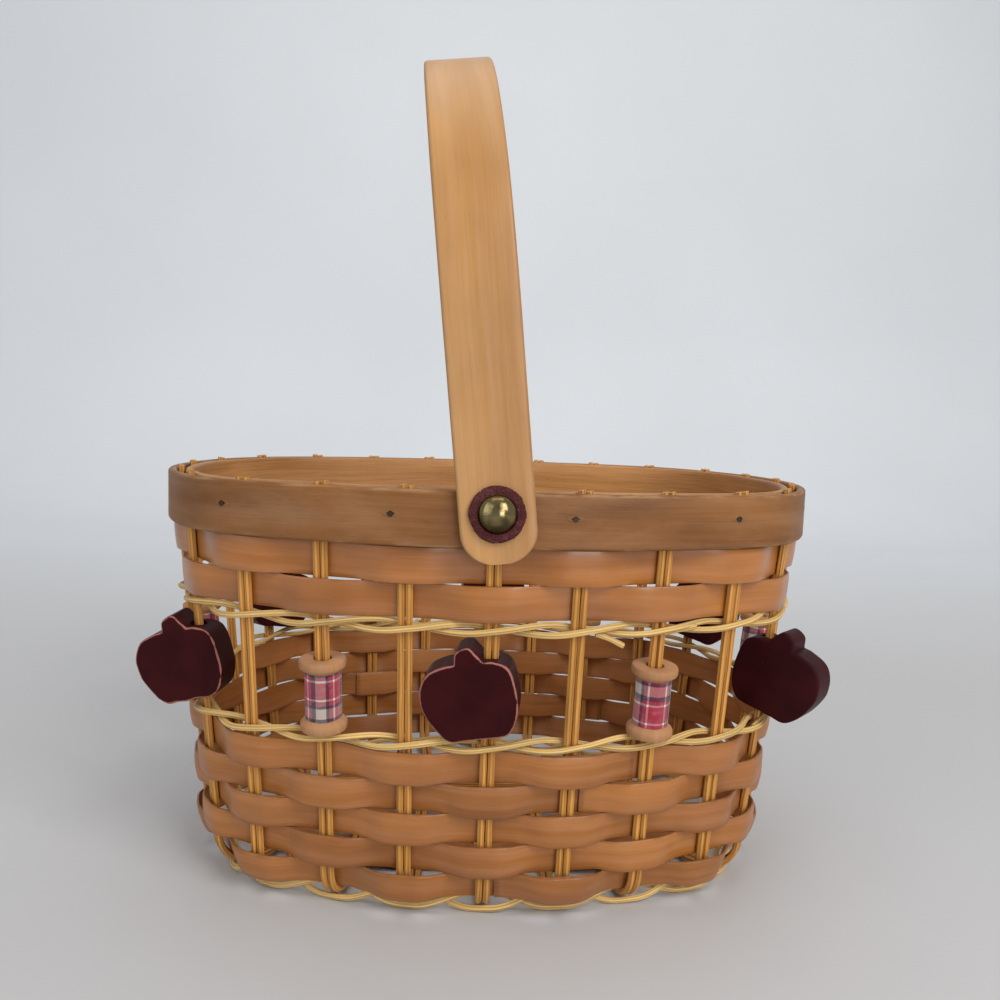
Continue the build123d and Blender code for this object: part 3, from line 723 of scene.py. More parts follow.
def weathered_wood(colour):
    """The outer band: cloudy soil, nail marks at the brads and pale rubbed edges."""
    material, n, shader = new_material("weathered_rim_wood")
    vector = n.along()
    amounts = {"Tone": 0.7, "Streaks": 0.14, "Fibres": 0.1, "Pores": 0.1}
    grain = n.group(wood_grain, {"Vector": vector, "Colour": rgba(colour), **amounts})
    soil = n.ramp(n.noise(n.scaled(vector, 22, 60, 1), 1, 4, 0.6), 0.42, 0.72)
    soiled = n.mix(soil * 0.5, grain["Color"], rgba((0.31, 0.158, 0.074)))
    offset = n.add("ShaderNodeAttribute", output="Vector", attribute_name="from_brad")
    marks = n.group(nail_mark, {"Offset": offset, "Colour": soiled})
    worn = n.edge() * n.ramp(n.noise(n.scaled(vector, 90, 500, 1), 1, 3), 0.45, 0.65)
    n.fill(shader, {
        "Base Color": n.mix(worn * 0.5, marks["Color"], rgba((0.44, 0.26, 0.12))),
        "Normal": n.bump(grain["Height"] + marks["Height"] * 2.5, 0.35, 0.0006),
        "Roughness": grain["Roughness"] + 0.46,
        "Specular IOR Level": 0.25,
    })
    return material


def dull_steel():
    """Tarnished brads."""
    material, n, shader = new_material("dull_brad_steel")
    # Here the mask is only tarnish: random darker and paler patches on the brads.
    tarnish_and_painted_reflection = n.noise(n.place(), 900, 3)
    n.fill(shader, {
        "Base Color": n.mix(tarnish_and_painted_reflection, rgba((0.022, 0.013, 0.008)), rgba((0.085, 0.055, 0.034))),
        "Roughness": n.ramp(tarnish_and_painted_reflection, 0.3, 0.7, 0.4, 0.7),
        "Metallic": 0.8,
    })
    return material


def split_leather(colour):
    """Rough leather: pebbles and fluff, with paler worn patches."""
    material, n, shader = new_material("split_leather")
    v = n.place()
    pebble = n.add("ShaderNodeTexVoronoi", {"Vector": v, "Scale": 1500.0}, "Distance")
    fluff = n.noise(v, 2600, 4, 0.7)
    base = n.mix(n.ramp(fluff, 0.35, 0.7), rgba(colour, 0.4), rgba(colour, 1.7))
    worn = n.ramp(n.noise(v, 420, 3), 0.5, 0.7)
    n.fill(shader, {
        "Base Color": n.mix(worn * 0.3, base, rgba((0.20, 0.08, 0.075))),
        "Normal": n.bump(pebble * 0.7 + fluff * 0.6, 0.9, 0.0009),
        "Roughness": 0.85,
        "Specular IOR Level": 0.2,
    })
    return material


def aged_brass(colour):
    """Polished brass with dull clouds and fine scratches; below the rivet's middle, a painted reflection of a
    dark room darkens the dome.
    """
    material, n, shader = new_material("aged_brass")
    v = n.place()
    dull = n.noise(v, 260, 4, 0.6)
    scratch = n.noise(n.scaled(v, 400, 400, 5200), 1, 2)
    # Painted reflection: below the rivet's middle the base colour darkens, standing in for the dark room
    # mirrored in the dome's lower half.
    waved = n.part(v, "Z") + (n.noise(v, 170, 2) - 0.5) * 0.009
    tarnish_and_painted_reflection = n.ramp(waved, PIVOT.z - 0.0037, PIVOT.z - 0.0005, 0.85, 0.0)
    bright = n.mix(n.ramp(dull, 0.4, 0.75), rgba(colour), rgba((0.12, 0.088, 0.036)))
    n.fill(shader, {
        "Base Color": n.mix(tarnish_and_painted_reflection, bright, rgba((0.045, 0.034, 0.014))),
        "Roughness": n.ramp(dull, 0.3, 0.75, 0.08, 0.2),
        "Normal": n.bump(scratch + dull, 0.12, 0.0004),
        "Metallic": 1.0,
    })
    return material


def burgundy_paint(paint, wood_colour):
    """Brushed matt paint, scuffed through to the wood in spots and along the sawn edges."""
    material, n, shader = new_material("burgundy_paint")
    place = n.place()
    brush = n.noise(n.scaled(n.along(), 900, 120, 1), 1, 3, 0.6)
    cloud = n.noise(place, 70, 3)
    base = n.mix(n.ramp(cloud, 0.3, 0.7), rgba(paint, 0.85), rgba(paint, 1.35))
    worn = n.ramp(n.edge() + (n.noise(place, 240, 4, 0.65) - 0.5) * 1.3, 0.62, 0.80)
    scuff = n.ramp(n.noise(place, 520, 5, 0.7), 0.70, 0.78) * 0.55
    bare = n.mix(n.noise(place, 900, 2), rgba(wood_colour), rgba(wood_colour, 1.35))
    n.fill(shader, {
        "Base Color": n.mix(n.math("MAXIMUM", worn, scuff), base, bare),
        "Roughness": n.ramp(worn, 0, 1, 0.42, 0.7),
        "Normal": n.bump(brush * 0.3 + cloud * 0.3 - worn, 0.25, 0.0005),
        "Specular IOR Level": 0.07,
    })
    return material


def woven_plaid():
    """Soft cotton plaid, a little faded in patches."""
    material, n, shader = new_material("woven_plaid")
    v = n.along()
    plaid = n.group(plaid_cloth, {"Vector": v})
    faded = n.ramp(n.noise(n.scaled(v, 500, 500, 1), 1, 3), 0.45, 0.8, 0, 0.2)
    n.fill(shader, {
        "Base Color": n.mix(faded, plaid["Color"], rgba((0.50, 0.38, 0.36))),
        "Normal": n.bump(plaid["Height"], 0.6, 0.00025),
        "Roughness": 0.9,
        "Sheen Weight": 0.25,
    })
    return material


def pale_paint(floor, backdrop):
    """The stage: the floor's colour in front, the backdrop's behind, with faint clouds."""
    material, n, shader = new_material("pale_floor_paint")
    place = n.place()
    cloud = n.noise(place, 2.2, 3)
    tone = n.mix(n.ramp(n.part(place, "Y"), 0.2, 0.9), rgba(floor), rgba(backdrop))
    n.fill(shader, {"Base Color": n.tinted(tone, n.ramp(cloud, 0.2, 0.8, 0.97, 1.03)), "Roughness": 0.6})
    return material


# ---------------------------------------------------------------- operators
class BuildOperator:
    """What each of the basket's operators shares."""

    bl_options = {"REGISTER", "UNDO"}

    @property
    def sizes(self):
        return bpy.context.scene.basket_sizes

    @property
    def colours(self):
        return bpy.context.scene.basket_colours


def band_piece(name, wall, inset_out, thickness, seed, brads=None):
    """A rim band: a rounded bar carried round the oval, with a little waver in its edges."""
    z = wall.z
    count, steps = z.stations, 576
    station = np.linspace(0, count, steps, endpoint=False)
    share = station / count
    loop = rounded_bar(z.band_height, thickness, 0.0011, side_points=15, round_points=5)
    waver = 0.00022 * wobble(share, seed, 14)
    thin = 1 + 0.05 * wobble(share, seed + 1, 8)
    across = loop[None, :, 0] + waver[:, None] * np.sign(loop[None, :, 0]) * 0.8
    out = loop[None, :, 1] * np.minimum(thin, 1.0)[:, None]
    height = z.rim_height - z.band_height / 2 - 0.0002 + across
    grid = wall.point(wall.normal(station)[:, None], inset_out + thickness / 2 - out, height)
    run = np.arange(steps + 1) * wall.loop / steps
    uv = pairs(run[:, None] + seed, run_along(closed(loop))[None, :])
    values = {"edge": np.clip((np.abs(loop[:, 0]) / (z.band_height / 2) - 0.86) / 0.1, 0, 1)}
    if brads is not None:
        delta = np.mod(station[:, None] - brads[None, :] + count / 2, count) - count / 2
        nearest = np.take_along_axis(delta, np.abs(delta).argmin(1)[:, None], 1)
        millimetres, far = 1000, 50.0
        beside = nearest * wall.station_run * millimetres
        rise = (height - (z.rim_height - z.brad_drop)) * millimetres
        inside = np.where(loop[:, 1] > 0, 0.0, far)
        values["from_brad"] = np.stack(np.broadcast_arrays(beside, rise, inside[None, :]), -1)
    return surface(name, grid, uv, wrap_u=True, wrap_v=True, values=values)


class BASKET_OT_rim(BuildOperator, bpy.types.Operator):
    """Both rim bands, with nail marks on the outer one, and the brads"""

    bl_idname = "basket.rim"
    bl_label = "Rim bands"

    def execute(self, context):
        wall = Wall(self.sizes)
        z, colours = self.sizes, self.colours
        brads = np.arange(1, z.stations, 2) - z.brad_offset / wall.station_run
        outer = band_piece("outer_band", wall, 0, z.outer_band, 3, brads)
        inner = band_piece("inner_band", wall, z.outer_band + z.band_gap, z.inner_band, 5)
        dress(outer, weathered_wood(colours.outer_rim), BASKET, "rim_wood", "outer_rim_band")
        inner_wood = wood("inner_rim_wood", colours.inner_rim, 0.3, 0.3, 0.25, 0.2, 0.42)
        dress(inner, inner_wood, BASKET, "rim_wood", "inner_rim_band")
        coat("rim_brads", dull_steel())
        return {"FINISHED"}


class BASKET_OT_handle(BuildOperator, bpy.types.Operator):
    """The bent handle strip with rounded ends"""

    bl_idname = "basket.handle"
    bl_label = "Handle"

    def strip_line(self):
        """Runs from end to end, closer at the rounded ends, and where each lies: leg, half circle, leg."""
        z = self.sizes
        middle = z.half_depth + z.handle_gap + z.handle_thickness / 2
        arc = pi * middle
        total = 2 * (z.handle_leg + z.handle_end) + arc
        ends = z.handle_corner * (1 - np.cos(np.linspace(0, pi / 2, 12)))[:-1]
        straight = np.linspace(z.handle_corner, total - z.handle_corner, 300)
        run = np.concatenate([ends, straight, (total - ends)[::-1]])
        along = run - z.handle_end - z.handle_leg
        turn = np.clip(along / middle, 0, pi)
        up = z.handle_leg + middle * np.sin(turn)
        up = np.where(along < 0, run - z.handle_end, np.where(along > arc, total - z.handle_end - run, up))
        centre = np.stack([-middle * np.cos(turn), up], -1)
        return run, total, centre, np.stack([-np.cos(turn), np.sin(turn)], -1)

    def execute(self, context):
        z = self.sizes
        half, corner = z.handle_width / 2, z.handle_corner
        run, total, centre, out = self.strip_line()
        loop = rounded_bar(z.handle_width, z.handle_thickness, 0.0013, side_points=13, round_points=5)
        beyond = np.clip(corner - np.minimum(run, total - run), 0, None)
        breadth = half - corner + np.sqrt(np.maximum(corner**2 - beyond**2, 0))
        waver = 1 - 0.008 * np.abs(wobble(run / total, 17, 7))
        across = loop[None, :, 0] * (breadth / half * waver)[:, None]
        place = centre[:, None] + out[:, None] * loop[None, :, 1, None]
        right = np.array([cos(z.handle_lean), 0, sin(z.handle_lean)])
        rise = np.array([-sin(z.handle_lean), 0, cos(z.handle_lean)])
        side = np.array([0, 1.0, 0])
        grid = np.array(PIVOT) + across[..., None] * right + place[..., :1] * side + place[..., 1:] * rise
        uv = pairs(run[:, None], bar_across(across, loop))
        edge = np.clip((np.abs(loop[:, 0]) / half - 0.9) / 0.08, 0, 1)
        strip = surface("handle_strip", grid, uv, wrap_v=True, caps=True, values={"edge": edge}, sharp=60)
        finish = wood(
            "bent_handle_wood", self.colours.handle, 0.26, 0.08, 0.07, 0.1, 0.4,
            coat_weight=0.15, bump=0.07, edge=0.3,
        )
        dress(strip, finish, "handle", "handle_wood", "handle_band")
        return {"FINISHED"}


class BASKET_OT_rivets(BuildOperator, bpy.types.Operator):
    """Brass rivets on rough leather washers"""

    bl_idname = "basket.rivets"
    bl_label = "Rivets and leather"

    def washer(self, name, base, axis, seed):
        """A soft-edged ring carried round the axis, frayed by waves and noise at its outer edge."""
        z, around = self.sizes, 120
        bore, t, r = 0.00205, z.leather_thickness, z.leather / 2
        seat = 0.00005
        profile = np.array([
            [bore, seat], [r - 0.0010, seat], [r - 0.0004, 0.0002], [r - 0.0001, 0.0006], [r, 0.0010],
            [r - 0.00015, 0.0014], [r - 0.0006, 0.0017], [r - 0.0012, t], [r - 0.0022, t - 0.00005],
            [r - 0.0030, t - 0.0001], [bore, t - 0.0001],
        ])
        grid = revolve(profile, base, axis, UP, around)
        rng = np.random.default_rng(seed - 1)
        fray = 0.00024 * wobble(shares(around), seed, 26) + rng.normal(0, 0.00006, around) - 0.00015
        outer = (profile[:, 0] > r - 0.0031)[None, :, None]
        centre = base + ((grid - base) @ axis)[..., None] * axis
        grid = grid + np.where(outer, unit(grid - centre + 1e-9) * fray[:, None, None], 0)
        grid = grid + np.where(outer, rng.normal(0, 0.00003, grid.shape), 0)
        return surface(name, grid, np.zeros((around + 1, len(profile) + 1, 2)), wrap_u=True, wrap_v=True)

    def rivet(self, name, base, axis):
        """A shank and a dome: a ball's cap, as wide and as high as the sizes say."""
        z, around = self.sizes, 72
        shank, shank_end, t = 0.00195, -0.0155, z.leather_thickness
        wide, tall, tip = z.dome / 2, z.dome_height, 0.00002
        radius = (wide**2 + tall**2) / (2 * tall)
        angle = np.linspace(np.arcsin(wide / radius), 0.02, 22)
        cap = np.stack([radius * np.sin(angle), t + radius * np.cos(angle) - radius + tall], -1)
        foot = [[tip, shank_end], [shank, shank_end], [shank, t - 0.00002]]
        foot += [[wide - 0.0005, t - 0.00002], [wide, t + 0.00015]]
        profile = np.concatenate([foot, cap[1:], [[tip, t + tall]]])
        grid = revolve(profile, base, axis, UP, around)
        uv = np.zeros((around + 1, len(profile) + 1, 2))
        return surface(name, grid, uv, wrap_u=True, wrap_v=True, sharp=50)

    def execute(self, context):
        z = self.sizes
        leather, brass = split_leather(self.colours.leather), aged_brass(self.colours.brass)
        leather_gap = 0.00015
        seat = z.half_depth + z.handle_gap + z.handle_thickness + leather_gap
        for side, place in ((-1, "front"), (1, "back")):
            axis = np.array([0, float(side), 0])
            base = np.array(PIVOT) + axis * seat
            disc = self.washer(f"leather_disc_{place}", base, axis, 41 + side)
            dress(disc, leather, BASKET, "leather", f"leather_washer_{place}")
            rivet = self.rivet(f"brass_rivet_{place}", base, axis)
            dress(rivet, brass, BASKET, "brass", f"rivet_{place}")
            coat(f"rivet_burr_{place}", brass)
        return {"FINISHED"}


def chip_row(name, wall, height, width, seed, lap_at, lap_side, belly, swell, sag, cupping):
    """A chip row: a flat bar whose middle swings outside one reed pair and inside the next.

    The middle's inset is the reeds' own, less or plus the swing; between crests a cosine
    joins the two. The strip runs once round and laps over its own start.
    """
    z = wall.z
    count, overlap, per_station, lap_clear = z.stations, 1.2, 26, 0.00004
    span = count + overlap
    first = lap_at if lap_side > 0 else lap_at - span
    station = first + np.linspace(0, span, int(span * per_station))
    share = station / count
    half_rise = width / 2 * cos(z.lean)
    low, high = wall.at(0.0, np.array([height - half_rise, height + half_rise]))[0]
    tilt = np.arctan2(low - high, 2 * half_rise)
    rise = np.linspace(-0.5, 0.5, 9) * width * np.cos(tilt)
    inset, slope = wall.at(station[:, None], height + rise[None, :])
    beside = inset + rise * np.tan(tilt)
    swing = wall.swing / np.cos(slope)
    outside, inside = (beside - swing).min(1), (beside + swing).max(1)
    weave = crest(station + seed % 2, 0.135)
    bulge = np.maximum(weave, 0)
    middle = outside * (1 + weave) / 2 + inside * (1 - weave) / 2 - belly * bulge**1.5
    into = station - first
    if lap_side > 0:
        top, under = smooth_step(1 - (into - overlap) / 0.4), into > count
    else:
        top, under = smooth_step((into - count + 0.4) / 0.4), into < overlap
    middle = middle - top * (z.chip + 2 * lap_clear) + under * lap_clear
    centre = wall.point(wall.normal(station), middle, height + 0.00022 * wobble(share, seed, 12))
    ahead = unit(np.gradient(centre, axis=0) * [1, 1, 0])
    out = np.stack([ahead[:, 1], -ahead[:, 0], np.zeros(len(ahead))], -1)[:, None]
    loop = rounded_bar(width, z.chip, 0.00034, side_points=9, round_points=4)
    roll = (tilt + 0.035 * wobble(share, seed + 50, 10) * (1 - np.abs(weave)))[:, None, None]
    breadth = 1.004 + 0.008 * wobble(share, seed + 90, 16) + swell / width * np.abs(weave) ** 2
    a = loop[None, :, 0] * breadth[:, None] - (sag * bulge)[:, None]
    b = loop[None, :, 1] + cupping * (1 - (2 * a / width) ** 2) * bulge[:, None]
    across = np.cos(roll) * UP + np.sin(roll) * out
    thick = np.cos(roll) * out - np.sin(roll) * UP
    grid = centre[:, None] + a[..., None] * across + b[..., None] * thick
    uv = pairs((station * wall.station_run)[:, None] + 1.7 * seed, bar_across(loop[None, :, 0], loop))
    edge = np.clip((np.abs(loop[:, 0]) / (width / 2) - 0.9) / 0.08, 0, 1) * np.ones((len(station), 1))
    edge[:2] = edge[-2:] = 1
    return surface(name, grid, uv, wrap_v=True, caps=True, sharp=70, values={"edge": edge})


class BASKET_OT_rows(BuildOperator, bpy.types.Operator):
    """Seven rows of chips woven round the wall, and the floor's chips"""

    bl_idname = "basket.rows"
    bl_label = "Chip rows"

    def execute(self, context):
        wall = Wall(self.sizes)
        chip, upper_chip = self.colours.chip, self.colours.upper_chip
        # The edge amounts set how strongly dirt and painted shade darken the chips' edges where the rows
        # meet.
        lower = wood(
            "tan_chip_wood", chip, 0.5, 0.13, 0.11, 0.12, 0.36, coat_weight=0.25, bump=0.12, edge=0.6
        )
        upper = wood(
            "orange_chip_wood", upper_chip, 0.7, 0.12, 0.12, 0.12, 0.33, coat_weight=0.8, bump=0.1, edge=0.4
        )
        upper_shape = {"belly": 0.0003, "swell": 0.0003, "sag": 0.0001, "cupping": 0.0003}
        lower_shape = {"belly": 0.0008, "swell": 0.0011, "sag": 0.0003, "cupping": 0.0005}
        laps = [(9.2, 1), (15.1, 1), (1.84, -1), (1.16, 1), (13.1, 1), (10.84, -1), (0.15, 1)]
        kinds = [(upper, "upper_chip_wood", upper_shape)] * 2 + [(lower, "chip_wood", lower_shape)] * 5
        for number, (row, lap, kind) in enumerate(zip(wall.rows, laps, kinds), start=1):
            finish, slot, shape = kind
            piece = chip_row(f"chip_row_{number}", wall, *row, number, *lap, **shape)
            dress(piece, finish, BASKET, slot, f"weaver_row_{number}")
        floor = wood("tan_floor_chip_wood", chip, 0.3, 0.22, 0.16, 0.2, 0.45, edge=0)
        for name in FRAME["nodes"]:
            if name.startswith("floor_chip_"):
                coat(name, floor)
        return {"FINISHED"}


def reed_corners(wall, station, side, across):
    """A reed's corners: its top, the shoulder, the bend and the turn in the floor."""
    z = wall.z
    normal = float(wall.normal(station))
    under_rivet, floor_reach = 0.00215, 0.020
    top = PIVOT.z - under_rivet if station % (z.stations // 2) == 0 else z.rim_height + 0.0009
    beside = np.array([-sin(normal), cos(normal), 0])
    if beside @ across < 0:
        beside = -beside
    mitre = (beside + across) / (1 + beside @ across)
    offset = side * z.reed_spacing / 2
    floor = float(wall.floor_level(station))
    inset = wall.wall_inset + (wall.shoulder - floor) * tan(z.lean)
    return [
        wall.point(normal, wall.wall_inset, top) + beside * offset,
        wall.point(normal, wall.wall_inset, wall.shoulder) + beside * offset,
        wall.point(normal, inset, floor) + beside * offset,
        wall.point(normal, inset + floor_reach, floor) + mitre * offset,
    ]


class BASKET_OT_reeds(BuildOperator, bpy.types.Operator):
    """Standing reed pairs, bent under the floor"""

    bl_idname = "basket.reeds"
    bl_label = "Reed pairs"

    def reed(self, wall, name, first, second, across, side, number):
        """One reed: a ridged tube down a wall, across the floor and up, with ragged cut ends."""
        z, around = self.sizes, 20
        down, up = reed_corners(wall, first, side, across), reed_corners(wall, second, side, across)
        shoulder_radius, mitre_radius = 0.060, 0.011
        radii = [shoulder_radius, float(wall.bend_radius(first)), mitre_radius]
        line, run = fillet_path(down + up[::-1], radii + radii[::-1], 0.0022)
        share = run / run[-1]
        rng = np.random.default_rng(100 + number)
        angle = round_angles(around)
        drift = 0.5 * wobble(share, 200 + number, 6)
        ridges = 1 + 0.045 * np.cos(6 * (angle[None, :] + drift[:, None]) + rng.uniform(0, 6))
        girth = 0.962 + 0.02 * wobble(share, 300 + number, 20)
        grid, uv = tube(line, run, across, z.reed / 2 * ridges * girth[:, None], around)
        cut = rng.uniform(-0.0005, 0.0, 2)
        grid[0, :, 2] += cut[0] + 0.0003 * np.cos(angle)
        grid[-1, :, 2] += cut[1] + 0.0003 * np.sin(angle)
        return surface(name, grid, uv + [0.9 * number, 0], wrap_v=True, caps=True, sharp=60)

    def execute(self, context):
        wall = Wall(self.sizes)
        count = self.sizes.stations
        # The second colour is the painted shade in the reeds' grooves.
        finish = ridged_reed("standing_reed", self.colours.reed, (0.22, 0.085, 0.020), 5.0, 0.6, 0.45)
        quarter, half = count // 4, count // 2
        lengthways, crossways = np.array([1.0, 0, 0]), np.array([0, 1.0, 0])
        cross = enumerate(range(2 - quarter, quarter - 1), start=1)
        long = enumerate(range(quarter - 1, quarter + 2), start=1)
        pairs_of_reeds = [(f"cross_{i}", s, half - s, lengthways) for i, s in cross]
        pairs_of_reeds += [(f"long_{i}", s, -s, crossways) for i, s in long]
        for index, (name, first, second, across) in enumerate(pairs_of_reeds):
            left, right = (
                self.reed(wall, f"reeds_{name}_{tag}", first, second, across, side, 2 * index + side)
                for tag, side in (("left", -1), ("right", 1))
            )
            dress(left, finish, BASKET, "reed_wood", f"reed_pair_{name}")
            dress(right, finish, BASKET, "reed_wood")
        return {"FINISHED"}


def twine_line(wall, phase, seed, height=None, angle=None):
    """A strand's middle line: out and in by the crest curve, over and under by a sine."""
    count = wall.z.stations
    seam = count / 2 + 1.25
    station = seam + np.linspace(0, count, 760, endpoint=False)[:-1]
    out = wall.twine_swing * crest(station + phase, 0.10)
    down = wall.twine_half * np.sin(pi * (station + phase))
    if angle is None:
        level = height + 0.0003 * wobble(station / count, seed, 10)
        inset, slope = wall.at(station, level)
    else:
        slope = angle + wall.end_share(station) * radians(18)
        level = wall.floor_level(station) + wall.bend_radius(station) * (1 - np.sin(slope))
        inset = wall.at(station, level)[0]
    moved = inset - out * np.cos(slope) - down * np.sin(slope)
    line = wall.point(wall.normal(station), moved, level - out * np.sin(slope) + down * np.cos(slope))
    return line, run_along(line)


class BASKET_OT_twining(BuildOperator, bpy.types.Operator):
    """Three bands of two straw-coloured reeds that twist between the pairs"""

    bl_idname = "basket.twining"
    bl_label = "Twining"

    def strand(self, wall, name, phase, seed, place):
        """One strand: a tube with three ridges that twist slowly round it."""
        around = 18
        line, run = twine_line(wall, phase, seed, **place)
        share = run / run[-1]
        twist = 2.2 * wobble(share, seed + 1, 5)
        ridges = 1 + 0.11 * np.cos(3 * (round_angles(around)[None, :] + twist[:, None]))
        girth = 0.95 + 0.04 * wobble(share, seed + 2, 24)
        grid, uv = tube(line, run, UP, self.sizes.twine / 2 * ridges * girth[:, None], around)
        return surface(name, grid, uv + [1.3 * seed, 0], wrap_v=True, caps=True, sharp=60)

    def tail(self, wall, number, name, station, level, length, drop, lift):
        """A short loose end, which leaves the wall and rises or droops as it goes."""
        around, twine, start_drop = 12, self.sizes.twine, 0.0012
        t = np.linspace(0, 1, 16)
        where = station + t * length / wall.station_run
        inset = wall.at(where, level)[0] - wall.twine_swing * (0.35 + lift * t * 0.55)
        line = wall.point(wall.normal(where), inset, level - start_drop + drop * length * t**1.3)
        ridges = 1 + 0.06 * np.cos(5 * round_angles(around))
        taper = (0.82 + 0.06 * np.sin(9 * t))[:, None]
        grid, uv = tube(line, t * length, UP, twine / 2 * ridges * taper, around)
        name = f"straw_tail_{name}"
        return surface(name, grid, uv + [7.7 + number, 0], wrap_v=True, caps=True, sharp=60)

    def execute(self, context):
        wall = Wall(self.sizes)
        # The second colour is the painted shade in the straw's grooves.
        finish = ridged_reed("twined_straw", self.colours.straw, (0.30, 0.16, 0.045), 6.0, 0.5, 0.5)
        places = {
            "upper": {"height": wall.upper_twine},
            "middle": {"height": wall.middle_twine},
            "base": {"angle": self.sizes.base_twine},
        }
        for number, (band, place) in enumerate(places.items()):
            for strand, phase in (("a", 0), ("b", 1)):
                piece = self.strand(wall, f"straw_{band}_{strand}", phase, 500 + 10 * number + phase, place)
                dress(piece, finish, BASKET, "straw_reed", f"twining_{band}_{strand}")
        tails = [
            ("upper", 1.20, wall.upper_twine, 0.0095, -0.42, 0.9),
            ("upper_low", 2.05, wall.upper_twine, 0.012, 0.15, 0.6),
            ("corner", 3.72, wall.middle_twine, 0.011, 0.30, 0.8),
        ]
        for number, tail in enumerate(tails):
            dress(self.tail(wall, number, *tail), finish, BASKET, "straw_reed")
        return {"FINISHED"}


APPLE_BODY = [
    (-0.06, 0.868), (0.05, 0.872), (0.21, 0.80), (0.297, 0.52), (0.30, 0.30), (0.21, 0.125), (0.0, 0.07),
    (-0.21, 0.026), (-0.38, 0.010), (-0.54, 0.13), (-0.665, 0.32), (-0.70, 0.53), (-0.62, 0.70),
    (-0.46, 0.785), (-0.36, 0.815),
]
APPLE_STEM = [(-0.36, 0.815), (-0.345, 0.935), (-0.22, 1.0), (-0.125, 0.93), (-0.06, 0.868)]
APPLE_TURNS = {0: -8.0, 4: 79.0, 8: 28.0, 12: 6.0, 16: -20.0, 20: 48.0}


def ornament_axes(body, wall, station, turn):
    """The foot's place, the reeds' direction, and the face's right and front, turned about the reeds."""
    joint = TURN_JOINTS[body]
    base, up = np.array(joint["pos_m"]), unit(np.array(joint["axis"]))
    normal = float(wall.normal(station))
    right = np.array([-sin(normal), cos(normal), 0])
    front = np.cross(right, up)
    c, s = cos(radians(turn)), sin(radians(turn))
    return base, up, right * c + np.cross(up, right) * s, front * c + np.cross(up, front) * s


def bore(piece, base, up, radius, length=0.09):
    """Cuts a round hole along an axis through a piece, with a Boolean that is applied."""
    work = bmesh.new()
    bmesh.ops.create_cone(work, cap_ends=True, segments=40, radius1=radius, radius2=radius, depth=length)
    mesh = bpy.data.meshes.new("drill")
    work.to_mesh(mesh)
    work.free()
    mesh.transform(Matrix.Translation(Vector(base)) @ Vector(up).to_track_quat("Z", "Y").to_matrix().to_4x4())
    drill = bpy.data.objects.new("drill", mesh)
    bpy.context.scene.collection.objects.link(drill)
    cut = piece.modifiers.new("Bore", "BOOLEAN")
    cut.operation, cut.object, cut.solver = "DIFFERENCE", drill, "EXACT"
    graph = bpy.context.evaluated_depsgraph_get()
    bored = bpy.data.meshes.new_from_object(piece.evaluated_get(graph))
    piece.modifiers.clear()
    piece.data = bored
    bpy.data.objects.remove(drill)


class BASKET_OT_apples(BuildOperator, bpy.types.Operator):
    """Painted wooden apples with worn edges, bored for the reeds"""

    bl_idname = "basket.apples"
    bl_label = "Apples"

    def outline(self):
        """The sawn outline and the inward direction at each of its points."""
        z = self.sizes
        body, stem = curve_through(APPLE_BODY, 9), curve_through(APPLE_STEM, 7)
        outline = np.concatenate([body[:-1], stem[:-1]]) * [z.apple_width, z.apple_height]
        ahead = unit(np.roll(outline, -1, 0) - np.roll(outline, 1, 0))
        inward = np.stack([-ahead[:, 1], ahead[:, 0]], -1)
        if ((outline - outline.mean(0)) * inward).sum() > 0:
            inward = -inward
        return outline, inward

    def rounded_edge(self):
        """Depth, inset and wear from the front face, over both rounded edges, to the back face."""
        t = self.sizes.apple_thickness / 2
        edge = [
            (-t, 0.0013, 0.0), (-t, 0.0009, 0.3), (-t + 0.0001, 0.0005, 0.9), (-t + 0.00035, 0.00015, 1.0),
            (-t + 0.0007, 0, 0.55), (-t + 0.0014, 0, 0.0), (-t / 3, 0, 0.0),
        ]
        edge += [(-a, b, 0.92 * c) for a, b, c in edge[::-1]]
        depth, inset, rub = np.array(edge).T
        return depth, inset, np.where(depth < 0, 0.35 * rub, rub)

    def execute(self, context):
        wall = Wall(self.sizes)
        paint = burgundy_paint(self.colours.paint, self.colours.worn)
        outline, inward = self.outline()
        depth, inset, rub = self.rounded_edge()
        for station, turn in APPLE_TURNS.items():
            number = station // 4 + 1
            name = f"apple_{number}"
            base, up, right, front = ornament_axes(name, wall, station, turn)
            waver = 0.00025 * np.abs(wobble(shares(len(outline)), 700 + number, 9))
            shape = outline[None] + inward[None] * (inset[:, None, None] + waver[None, :, None])
            grid = base + shape[..., :1] * right + shape[..., 1:] * up + depth[:, None, None] * front
            uv = pairs(depth[:, None], run_along(closed(outline))[None, :])
            values = {"edge": rub[:, None]}
            piece = surface(f"painted_{name}", grid, uv, wrap_v=True, caps=True, values=values, sharp=45)
            bore(piece, base, up, self.sizes.ornament_bore / 2)
            dress(piece, paint, name, "apple_paint", name)
        return {"FINISHED"}


